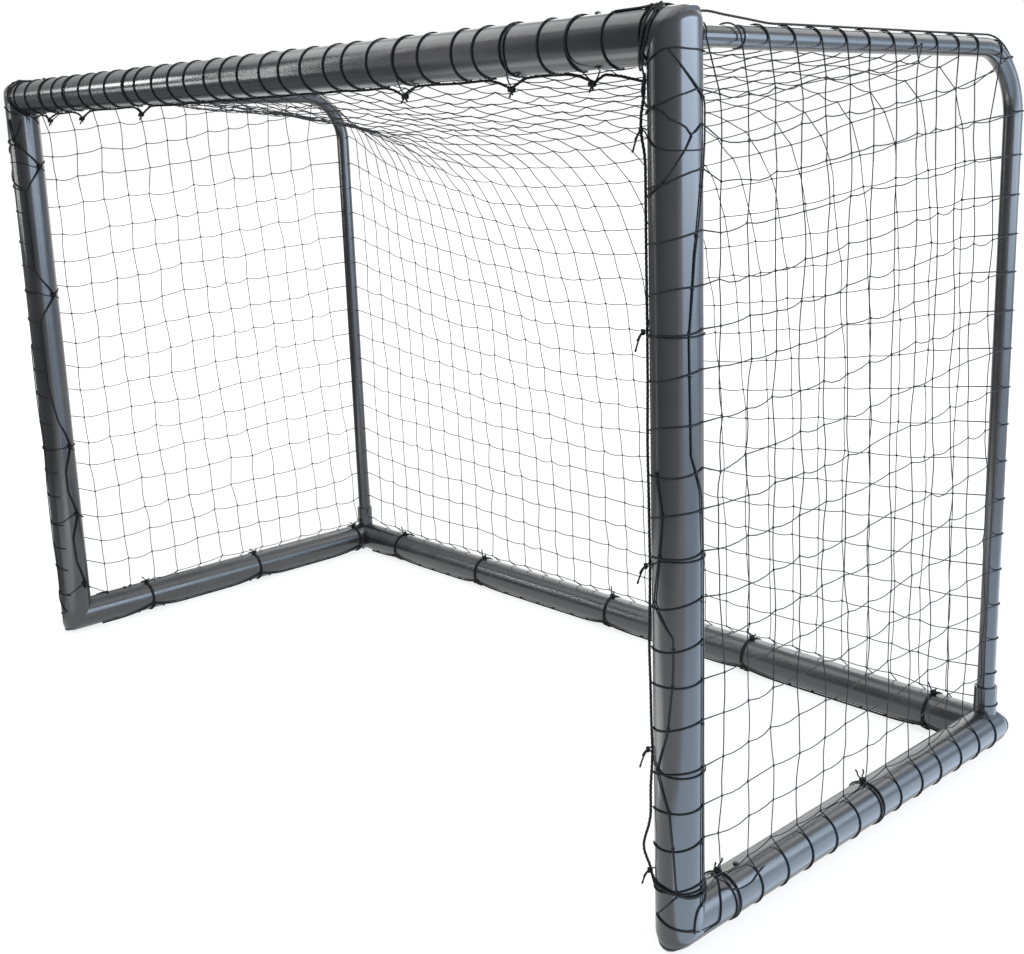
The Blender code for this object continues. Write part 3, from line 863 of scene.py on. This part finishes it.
sheet = sheet_knots()
skins = {side: Skin() for side, _ in SIDES}
panels = {}
for seed, (side, sign) in enumerate(SIDES, 20):
    panels[side] = {key: spot * (sign, 1, 1) for key, spot in panel_knots(seed).items()}


def cord_radii(free, wrap):
    return [CORD_R] * len(free) + [WRAP_CORD_R] * len(wrap)


def column_line(side, sign, c):
    """A panel's column from its top knot to the rope under the ground bar."""
    keys = [panels[side][key] for key in sorted(panels[side], reverse=True) if key[1] == c]
    free, wrap = hung(keys), bar_wrap(keys[-1], sign)
    return keys[0], free + wrap, cord_radii(free, wrap)


def row_line(side, sign, r):
    """A panel's row from its rear knot to the rope beside the post."""
    keys = [panels[side][key] for key in sorted(panels[side], reverse=True) if key[0] == r]
    free, wrap = hung(keys, sag=0.002), post_wrap(keys[-1], r, side, sign)
    return keys[0], free + wrap, cord_radii(free, wrap)


# Cords about the corners on each tube, with their radius: keys of (distance along,
# degrees round, and lift off the tube where there is any)
CORNER_CORDS = (
    (post_place, WRAP_CORD_R, (
        ((1.040, -140), (1.046, -105), (1.051, -91), (1.055, -69), (1.0555, -44),
         (1.054, -20), (1.0535, 7), (1.052, 45), (1.056, 75, 0.001)),
        ((0.966, -16), (0.953, -29), (0.940, -45), (0.929, -60), (0.915, -85),
         (0.902, -125, 0.001)),
        ((1.030, -150, 0.002), (1.012, -136, 0.004), (0.998, -118, 0.001), (0.994, -97),
         (0.991, -76)),
        ((0.0825, -52), (0.0679, -77), (0.052, -104), (0.0465, -116), (0.0425, -100),
         (0.0379, -73), (0.0344, -39), (0.0325, -18, 0.001), (0.0320, -6, 0.003)),
        ((0.080, 55, 0.001), (0.0663, 36), (0.0606, 0), (0.0473, -12), (0.0290, -16)))),
    (bar_place, WRAP_CORD_R, (
        ((0.0080, -9, 0.001), (0.0237, -11), (0.0372, -10), (0.0425, 15), (0.0500, 42),
         (0.0600, 66), (0.0672, 82), (0.0696, 104)),
        ((0.0546, 54, 0.001), (0.0675, 48), (0.0783, 37), (0.0883, 32, 0.001), (0.1085, 31),
         (0.1250, 40), (0.1405, 46, 0.001)))),
    (beam_place, 1.35 * WRAP_CORD_R, (
        ((0.790, 70, 0.001), (0.800, 100, 0.001), (0.8015, 138, 0.001), (0.7990, 165),
         (0.7965, 186), (0.7890, 208), (0.7790, 237), (0.7690, 262, 0.003),
         (0.7640, 276, 0.010), (0.7630, 281, 0.018)),
        ((0.776, 60, 0.001), (0.790, 92, 0.001), (0.7960, 125, 0.002), (0.7935, 160, 0.001),
         (0.7900, 190, 0.001), (0.7800, 225, 0.001), (0.7660, 262, 0.003)),
        ((0.735, 108), (0.748, 105), (0.765, 103), (0.784, 100, 0.001), (0.798, 90, 0.001),
         (0.804, 72)))),
)
# Knots among those on the crossbar: distance along, degrees round, size
CORNER_KNOTS = ((0.786, 114, 0.0036), (0.793, 102, 0.0040), (0.799, 120, 0.0032))

# The sheet's rows, each carried over the stays into a row or a column of the panels
sheet_skin = Skin()
for j in range(ROWS):
    inside = sheet[j, 1:COLUMNS]
    sweep(sheet_skin, hung(list(inside)), CORD_R)
    on_roof = j > ROWS - PANEL_COLUMNS
    for side, sign in SIDES:
        first = inside[-1] if sign > 0 else inside[0]
        if on_roof:
            key, line, radii = column_line(side, sign, ROWS - j)
            wrap = stay_wrap(j, first, key, sign)
            sweep(skins[side], [first] + wrap + line, cord_radii([first], wrap) + radii)
        if j < PANEL_ROWS:
            key, line, radii = row_line(side, sign, j)
            start = [first]
            wrap = stay_wrap(j, first, key, sign)
            if on_roof:
                start = []
                wrap = [np.array((sign * (POST_X + STAY_R + WRAP_CORD_R), key[1] + 0.012,
                                  BEAM_Z))]
            sweep(skins[side], start + wrap + line, cord_radii(start, wrap) + radii)

# The first column of each panel starts at the front of the stay
for side, sign in SIDES:
    _, line, radii = column_line(side, sign, 0)
    start = [np.array((sign * (POST_X + STAY_R * math.cos(turn)), 0.036 + 0.004 * turn,
                       BEAM_Z + (STAY_R + WRAP_CORD_R) * math.sin(turn)))
             for turn in np.linspace(2.4, -0.1, 9)]
    sweep(skins[side], start + line, cord_radii([], start) + radii)

# The sheet's columns, from the rope under the rear bar over the crossbar
for i in range(1, COLUMNS):
    knots = list(sheet[:, i])
    curve = arc_from(knots[0][1:], (DEPTH, BASE_Z), WRAP_R, REAR_ROPE, -1)
    drift = rng.normal(0, 0.003)
    tail = [np.array((knots[0][0] + drift * k / len(curve), y, max(z, WRAP_CORD_R)))
            for k, (y, z) in enumerate(curve)]
    curve = arc_from(knots[-1][1:], (0.0, BEAM_Z), WRAP_R, BEAM_ROPE, 1, 0.2)
    lean = rng.normal(0, 0.002)
    head = [np.array((ring_x(i) + lean * math.sin(3 * k / len(curve)), y, z))
            for k, (y, z) in enumerate(curve)]
    free = hung(knots)
    sweep(sheet_skin, tail[::-1] + free + head, cord_radii([], tail) + cord_radii(free, head))

for j in range(ROWS):
    for i in range(1, COLUMNS):
        east = sheet[j, i + 1] - sheet[j, i - 1]
        up = sheet[min(j + 1, ROWS - 1), i] - sheet[max(j - 1, 0), i]
        tie_knot(sheet_skin, sheet[j, i], east, up)
dress(sheet_skin.make("net_sheet", NET), ["net_roof", "net_back"])

# The panels' knots, the face columns and the corners' cords
for side, sign in SIDES:
    skin = skins[side]
    for spot in panels[side].values():
        tie_knot(skin, spot, sign * Y, Z)
    for column in (FACE_COLUMN, INNER_COLUMN):
        bottom, top = column[0][0], column[0][-1]
        sweep(skin, [post_place(z, face_angle(side, z, column), WRAP_R + 0.0003, sign)
                     for z in np.linspace(bottom, top, 1 + int((top - bottom) / 0.006))],
              WRAP_CORD_R)
        for r in range(PANEL_ROWS):
            z = ring_z(r) + 0.005
            if bottom <= z <= min(top, 1.02):
                angle = face_angle(side, z, column)
                east = np.array((-math.sin(angle) * sign, math.cos(angle), 0.0))
                tie_knot(skin, post_place(z, angle, WRAP_R + 0.0004, sign), east, Z)
    for place, radius, courses in CORNER_CORDS:
        for course in courses:
            sweep(skin, wound(course, place, sign), radius)
    for at, turn, size in CORNER_KNOTS:
        angle = math.radians(turn)
        tie_knot(skin, beam_place(at, angle, WRAP_R + 0.0012, sign), sign * X + 0.3 * Z,
                 np.array((0.0, -math.sin(angle), math.cos(angle))), size, 0.0010, 7)
    dress(skin.make("net_panel_" + side, NET), ["net_side_" + side])


# ---- Edge ropes

ROPE_SEAT = TUBE_R + ROPE_R + 0.0002
STAY_ROPE_LIFT = STAY_R + ROPE_R + 0.0006
POST_ROPE_SPAN = (0.04, 1.03)
# The left post's rope: heights and degrees round the post
LEFT_ROPE = ((0.04, 0.20, 0.42, 0.52, 0.90, 0.98, 1.04),
             (-185, -172, -172, -140, -136, -116, -100))
# The right post's rope starts with a hook round the post's foot
HOOK = ((0.0758, 45, 0.001), (0.0772, 8, 0.001), (0.0788, -27, 0.001),
        (0.0835, -58, 0.001), (0.0873, -93, 0.001), (0.0870, -120, 0.001))


def tie_places(prefix, axis):
    """Centres of the CAD ties of one kind along an axis, in rising order."""
    found = []
    for name in nodes:
        if name.startswith(prefix):
            low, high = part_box(name)
            centre = (low + high) / 2
            centre.y -= FRONT_Y
            found.append((centre[axis], name))
    return sorted(found)


post_ties = {side: tie_places("tie_post_" + side, 2) for side, _ in SIDES}
bar_ties = {side: tie_places("tie_ground_" + side, 1) for side, _ in SIDES}
rear_ties = tie_places("tie_rear", 0)
beam_ties = tie_places("tie_crossbar", 0)


def pull(at, ties, width):
    """How strongly a tie pulls the rope here, from 0 to 1."""
    return max([0.0] + [max(0.0, 1 - abs(at - place) / width) for place, _ in ties])


def bulge(at, ties, span, seed):
    """Share of the slack that the rope has here between two ties."""
    stops = [span[0]] + [place for place, _ in ties] + [span[1]]
    sizes = np.random.default_rng(seed).uniform(0.0, 1.0, len(stops))
    for k, (a, b) in enumerate(zip(stops, stops[1:])):
        if a <= at <= b and b > a:
            share = (at - a) / (b - a)
            return sizes[k] * math.sin(math.pi * share) ** 2 * (
                0.7 + 0.3 * math.sin(9 * share + k))
    return 0.0


def rope(name, line, radius=ROPE_R):
    skin = Skin()
    laid_rope(skin, line, radius)
    dress(skin.make(name, ROPE))


def rope_along(name, place, start, end, angle_at, lift_at=lambda at: 0.0, sign=1):
    """A rope beside a tube."""
    count = int((end - start) / COURSE_STEP)
    rope(name, [place(at, angle_at(at), ROPE_SEAT + lift_at(at), sign)
                for at in np.linspace(start, end, count + 1)])


def post_angle(z, side):
    near_tie = pull(z, post_ties[side], 0.05)
    if side == "left":
        free = math.radians(np.interp(z, *LEFT_ROPE))
        return free + (math.radians(-203) - free) * near_tie ** 1.1
    return POST_ROPE[side] - math.radians(10) * near_tie + 0.06 * math.sin(19 * z)


def post_lift(z, side):
    if side == "left":
        return 0.0015 * bulge(z, post_ties[side], POST_ROPE_SPAN, 6)
    loops = 0.010 * math.exp(-((z - 0.130) / 0.028) ** 2)
    loops += 0.005 * math.exp(-((z - 0.975) / 0.022) ** 2)
    return loops + 0.0035 * bulge(z, post_ties[side], POST_ROPE_SPAN, 5)


def beam_angle(x):
    return BEAM_ROPE + 0.10 * math.sin(11 * x) - 0.25 * pull(x, beam_ties, 0.03)


def beam_lift(x):
    """The rope dips at each tie, gently before it and steeply after, and at its ends."""
    dips = [0.0]
    for place, _ in beam_ties:
        width = 0.050 if x < place else 0.020
        dips.append(0.0105 * max(0.0, 1 - abs(x - place) / width) ** 1.2)
    dips.append(0.016 * max(0.0, (x - 0.690) / 0.075))
    dips.append(0.006 * max(0.0, (-0.735 - x) / 0.035))
    return max(dips) + 0.0008 * math.sin(31 * x) ** 2


for side, sign in SIDES:
    line = [post_place(z, post_angle(z, side), ROPE_SEAT + post_lift(z, side), sign)
            for z in np.arange(0.092, 1.034, COURSE_STEP)]
    if side == "right":
        line = wound(HOOK, post_place, sign) + line
    rope("rope_post_" + side, smooth_line(line, ROPE_STEP))
    rope_along("rope_ground_" + side, bar_place, 0.045, DEPTH - 0.045,
               lambda y: BAR_ROPE - math.radians(38) * pull(y, bar_ties[side], 0.075) ** 1.5,
               sign=sign)
rope_along("rope_crossbar", beam_place, -0.770, 0.768, beam_angle, beam_lift)
rope_along("rope_ground_rear", rear_place, -0.765, 0.765,
           lambda x: REAR_ROPE - math.radians(30) * pull(x, rear_ties, 0.08) ** 1.5)

# Rope along each stay, on the crown of the tube
for side, sign in SIDES:
    start_lift = 0.0095 if side == "right" else 0.006
    keys = [(sign * (POST_X - 0.004), 0.026, BEAM_Z + TUBE_R * 0.75)]
    for y in (0.045, 0.08, 0.12, 0.16, 0.20, 0.28, 0.36):
        lift = start_lift * max(0.0, 1 - (y - 0.045) / 0.115)
        keys.append((sign * (POST_X + 0.004), y, BEAM_Z + STAY_ROPE_LIFT + lift))
    for y, z in stay_path(STAY_ROPE_LIFT)[::-1]:
        if y > 0.40 and z > 0.14:
            keys.append((sign * (POST_X + 0.003 + 0.003 * math.sin(31 * y + 17 * z)), y, z))
    keys.append((sign * (POST_X + 0.004), DEPTH + SOCKET_R + ROPE_R + 0.0005, 0.085))
    rope("rope_stay_" + side, smooth_line(keys, COURSE_STEP), ROPE_R * 0.8)


# ---- Ties

TURN_PARTS = 40
TURN_PITCH = 2.15        # from turn to turn, in the cord's radius


def lashing(node, centre, axes, rope_turn, knot_turn, seed, tails, fall,
            turns=1.0, thick=TIE_R, knot=1.15, splay=1.0, dip=0.0, lean=0.0):
    """A cord wound round a tube and its rope, knotted, with two loose tails.

    The third axis is the tube's direction, and the rope and the knot stand at
    degrees in the plane of the other two. The rope dips off the tube, and away
    from it the turns lean along the tube. A splay below 1 turns the tails down.
    """
    source = np.random.default_rng(seed)
    one, two, axis = (np.array(v, float) for v in axes)
    rope_angle, knot_angle = math.radians(rope_turn), math.radians(knot_turn)

    def spot(angle, across, lift=0.0):
        away = (angle - rope_angle + math.pi) % (2 * math.pi) - math.pi
        reach = TUBE_R + thick + 0.0003 + lift
        reach += 2 * ROPE_R * math.exp(-(away / 0.17) ** 2)
        reach += dip * math.exp(-(away / 0.45) ** 2)
        across += lean * (1 - math.exp(-(away / 0.7) ** 2))
        return centre + reach * (one * math.cos(angle) + two * math.sin(angle)) + axis * across

    skin = Skin()
    slant = source.normal(0, 0.0015)
    line = []
    for share in np.linspace(0, 1, int(turns * TURN_PARTS) + 1):
        angle = knot_angle + 2 * math.pi * turns * share
        across = TURN_PITCH * thick * turns * (share - 0.5) + slant * math.cos(angle)
        point = spot(angle, across)
        point[2] = max(point[2], thick)
        line.append(point)
    sweep(skin, line, thick, 8)
    out = one * math.cos(knot_angle) + two * math.sin(knot_angle)
    side = two * math.cos(knot_angle) - one * math.sin(knot_angle)
    heart = spot(knot_angle, 0.0, 0.0022)
    for size, turn in ((0.0040 * knot, 0.3), (0.0033 * knot, 1.7)):
        shape = knot_line(36, 1.4, size, turn)
        sweep(skin, heart + shape @ np.stack([side, axis, out]), TIE_R * 0.95, 7, closed=True)
    for k, length in enumerate(tails):
        spread = (1 if k else -1) * source.uniform(0.5, 0.9)
        way = (out * source.uniform(0.7, 1.0) + axis * spread
               + side * source.normal(0, 0.25)) * (1, 1, splay) + (splay - 1) * Z
        way /= np.linalg.norm(way)
        keys = [heart]
        for share in (0.35, 0.7, 1.0):
            keys.append(heart + way * length * share + fall * length * 0.5 * share ** 2 * Z
                        + side * length * 0.10 * math.sin(5 * share + k))
        line = smooth_line(keys, 0.002)
        radii = np.full(len(line), TIE_R * 0.9)
        radii[-2] = TIE_R * 1.15
        sweep(skin, line, radii, 7)
    dress(skin.make(node.replace("tie", "lashing"), TIE), [node])


def nearest(spots, at):
    """How far the nearest of some spots is from a place."""
    return min((spot - at for spot in spots), key=abs)


post_rings = [ring_z(r) + 0.0010 for r in range(PANEL_ROWS)]
bar_rings = [LOW_START + 0.005 + LOW_PITCH * c for c in range(PANEL_COLUMNS)]
beam_rings = [ring_x(i) + 0.0022 for i in range(1, COLUMNS)]
POST_FORMS = {
    "left": dict(rope_turn=-188, knot_turn=-196, tails=(0.013, 0.005), fall=0.2),
    "right": dict(rope_turn=-148, knot_turn=-146, tails=(0.015, 0.008), fall=-1.6, splay=0.3)}
for side, sign in SIDES:
    for seed, (z, node) in enumerate(post_ties[side], 40 + 10 * sign):
        lashing(node, (sign * POST_X, 0, z), (sign * X, Y, Z), seed=seed, thick=THIN_TIE_R,
                knot=0.75, lean=nearest(post_rings, z), **POST_FORMS[side])
    for seed, (y, node) in enumerate(bar_ties[side], 70 + 10 * sign):
        form = dict(tails=(0.014, 0.009), turns=2.0)
        if side == "right":
            form = dict(tails=(0.026, 0.017), lean=nearest(bar_rings, y))
        lashing(node, (sign * POST_X, y, BASE_Z), (sign * X, Z, Y), -158, 98, seed, fall=-0.2,
                **form)
for seed, (x, node) in enumerate(rear_ties, 90):
    lashing(node, (x, DEPTH, BASE_Z), (Y, Z, X), -150, 92, seed, (0.016, 0.009), 0.3, turns=2.0)
for seed, (x, node) in enumerate(beam_ties, 110):
    lashing(node, (x, 0, BEAM_Z), (Y, Z, X), math.degrees(BEAM_ROPE - 0.2), 266, seed,
            (0.007, 0.005), -1, thick=THIN_TIE_R, splay=0.5, dip=0.0085,
            lean=nearest(beam_rings, x))


# ---- Floor, light and camera

WHITE = (1.0, 1.0, 1.0)
DAYLIGHT = (0.68, 0.82, 1.0)
FLOOR_Z = -0.0002
FLOOR_HALF = 30
FLOOR_PANEL_Z = 0.0006
CEILING_Z = 2.7

world = bpy.data.worlds.new("studio")
world.use_nodes = True
bpy.context.scene.world = world
graph = Graph(world.node_tree)
background = graph.tree.nodes["Background"].inputs
background["Color"].default_value = (*WHITE, 1.0)
graph.feed(background["Strength"], graph.spread(graph.seen_white(), 0.0, 1.0, 0.75, 1.0))


def bare_material(name):
    """A material with nothing but its output: itself, its graph and its surface."""
    made = bpy.data.materials.new(name)
    made.use_nodes = True
    graph = Graph(made.node_tree)
    for old in list(graph.tree.nodes):
        if old.type != "OUTPUT_MATERIAL":
            graph.tree.nodes.remove(old)
    return made, graph, graph.tree.nodes[0].inputs["Surface"]


def flat_mesh(name, corners, material):
    mesh = bpy.data.meshes.new(name)
    mesh.from_pydata([tuple(c) for c in corners], [], [(0, 1, 2, 3)])
    made = place_mesh(name, mesh, material)
    return made


def standing(start, end, low, high):
    return [(*start, low), (*end, low), (*end, high), (*start, high)]


def lying(x0, x1, y0, y1, z):
    return [(x0, y0, z), (x1, y0, z), (x1, y1, z), (x0, y1, z)]


def floor_look():
    """White floor that keeps a faint shadow and shows white in reflections."""
    made, graph, surface = bare_material("studio_floor")
    seen = graph.seen_white()
    grain = graph.node("ShaderNodeTexNoise", {"Scale": 3.0}).outputs["Fac"]
    shade = graph.math("MULTIPLY", graph.spread(grain, 0.0, 1.0, 0.68, 0.72),
                       graph.spread(seen, 0.0, 1.0, 1.0, 0.38))
    away = graph.node("ShaderNodeVectorMath", {0: graph.place()}, operation="LENGTH")
    level = graph.spread(away.outputs["Value"], 1.3, 2.6, 0.80, 1.0)
    cloth = graph.node("ShaderNodeBsdfDiffuse", {"Color": shade})
    glow = graph.node("ShaderNodeEmission", {"Strength": graph.math("MULTIPLY", seen, level)})
    both = graph.node("ShaderNodeAddShader", {0: cloth.outputs[0], 1: glow.outputs[0]})
    graph.feed(surface, both.outputs[0])
    return made


flat_mesh("floor", lying(-FLOOR_HALF, FLOOR_HALF, -FLOOR_HALF, FLOOR_HALF, FLOOR_Z),
          floor_look())


def panel(name, corners, axis, low, high, colour=WHITE):
    """A panel seen only in reflections, its strength changing along an axis."""
    made, graph, surface = bare_material(name)
    parts = graph.node("ShaderNodeSeparateXYZ", {"Vector": graph.place()})
    spots = [corner["XYZ".index(axis)] for corner in corners]
    strength = graph.spread(parts.outputs[axis], min(spots), max(spots), low, high,
                            interpolation_type="SMOOTHSTEP")
    glow = graph.node("ShaderNodeEmission", {"Color": (*colour, 1.0), "Strength": strength})
    graph.feed(surface, glow.outputs[0])
    flat = flat_mesh(name, corners, made)
    flat.visible_camera = flat.visible_shadow = flat.visible_diffuse = False


WINDOW = ((2.9, -1.30), (2.9, 1.5))
REAR_RIGHT = ((2.9, 1.5), (1.9, 2.33))
LAMP_Y = -1.33
panel("window_low", standing(*WINDOW, 0.0, 1.15), "Z", 2.1, 6.8, DAYLIGHT)
panel("window_high", standing(*WINDOW, 1.15, 1.9), "Z", 7.0, 11.0, DAYLIGHT)
panel("rear_right_low", standing(*REAR_RIGHT, 0.0, 0.6), "X", 1.0, 2.6, DAYLIGHT)
panel("rear_right_middle", standing(*REAR_RIGHT, 0.6, 1.25), "X", 2.8, 6.4, DAYLIGHT)
panel("rear_right_high", standing(*REAR_RIGHT, 1.25, 1.9), "X", 0.8, 8.0, DAYLIGHT)
panel("rear", standing((1.9, 2.33), (0.6, 3.4), 0.0, 1.9), "Z", 1.3, 1.2, DAYLIGHT)
panel("rear_left", standing((-1.2, 4.8), (-6.0, 4.8), 0.0, CEILING_Z), "X", 1.9, 1.9)
panel("bright_floor", lying(0.845, 2.9, -0.75, 1.5, FLOOR_PANEL_Z), "X", 3.2, 1.9, DAYLIGHT)
for name, span, z, low, high in (
        ("floor_inside", (-0.75, 0.45, -1.0, -0.50), FLOOR_PANEL_Z, 1.8, 2.9),
        ("floor_left", (-3.28, -0.87, -1.32, 0.12), FLOOR_PANEL_Z, 0.28, 0.34),
        ("overhead", (-2.3, 1.3, -1.3, 0.4), CEILING_Z, 2.4, 1.5),
        ("overhead_middle", (0.4, 1.8, 0.4, 2.3), CEILING_Z, 1.6, 1.8),
        ("overhead_rear", (-1.2, 1.8, 2.3, 4.8), CEILING_Z, 2.1, 2.4),
        ("overhead_far", (-4.2, -1.2, 1.9, 4.8), CEILING_Z, 1.9, 3.4),
        ("overhead_left", (-4.4, -2.3, -1.3, 0.4), CEILING_Z, 1.0, 1.2)):
    panel(name, lying(*span, z), "X", low, high)
for name, x0, x1, z0, z1, low, high in (
        ("lamp_left_high", -2.72, -2.02, 1.34, 1.66, 4.0, 18.0),
        ("lamp_left_low", -2.15, -1.65, 0.78, 1.02, 5.0, 6.0),
        ("lamp_strip", -1.44, -1.30, 0.72, CEILING_Z, 8.0, 8.0)):
    panel(name, standing((x0, LAMP_Y), (x1, LAMP_Y), z0, z1), "X", low, high)
for name, start, end, axis, low, high in (
        ("wall_front", (2.3, -1.62), (-0.8, -1.62), "X", 0.25, 0.72),
        ("wall_front_left", (-0.8, -1.35), (-3.3, -1.35), "Z", 0.28, 0.40),
        ("wall_left", (-3.3, -1.35), (-3.3, 1.2), "Z", 0.22, 0.75)):
    panel(name, standing(start, end, 0.0, CEILING_Z), axis, low, high)


def lamp(name, place, target, size, power, colour=WHITE):
    data = bpy.data.lights.new(name, "AREA")
    data.shape = "SQUARE"
    data.size = size
    data.energy = power
    data.color = colour
    made = bpy.data.objects.new(name, data)
    made.location = place
    made.visible_glossy = False
    way = Vector(target) - Vector(place)
    made.rotation_euler = way.to_track_quat("-Z", "Y").to_euler()
    bpy.context.scene.collection.objects.link(made)


lamp("key", (3.4, 0.1, 1.9), (0, 0, 0.5), 2.4, 60, DAYLIGHT)
lamp("fill", (-0.8, -0.6, 3.6), (0, 0, 0.4), 2.4, 40)

# Camera, turned and placed as the photograph's
YAW = math.radians(46.9066)
PITCH = math.radians(-12.7315)
ROLL = math.radians(-1.8713)
CAMERA_PLACE = (1.7655, -1.1373 + FRONT_Y, 0.9726)
FOCAL_PX = 1347.02
CENTRE_PX = (518.82, 439.25)
IMAGE = (1024, 954)
SENSOR = 36.0

forward = Vector((-math.sin(YAW) * math.cos(PITCH), math.cos(YAW) * math.cos(PITCH),
                  math.sin(PITCH)))
level_right = Vector((math.cos(YAW), math.sin(YAW), 0.0))
level_up = level_right.cross(forward)
right = level_right * math.cos(ROLL) + level_up * math.sin(ROLL)
up = level_up * math.cos(ROLL) - level_right * math.sin(ROLL)
camera_data = bpy.data.cameras.new("camera")
camera_data.sensor_width = SENSOR
camera_data.lens = FOCAL_PX / IMAGE[0] * SENSOR
camera_data.shift_x = (IMAGE[0] / 2 - CENTRE_PX[0]) / IMAGE[0]
camera_data.shift_y = (CENTRE_PX[1] - IMAGE[1] / 2) / IMAGE[0]
camera = bpy.data.objects.new("camera", camera_data)
pose = Matrix((right, up, -forward)).transposed().to_4x4()
pose.translation = Vector(CAMERA_PLACE)
camera.matrix_world = pose
bpy.context.scene.collection.objects.link(camera)
bpy.context.scene.camera = camera
bpy.context.scene.view_settings.view_transform = "Standard"
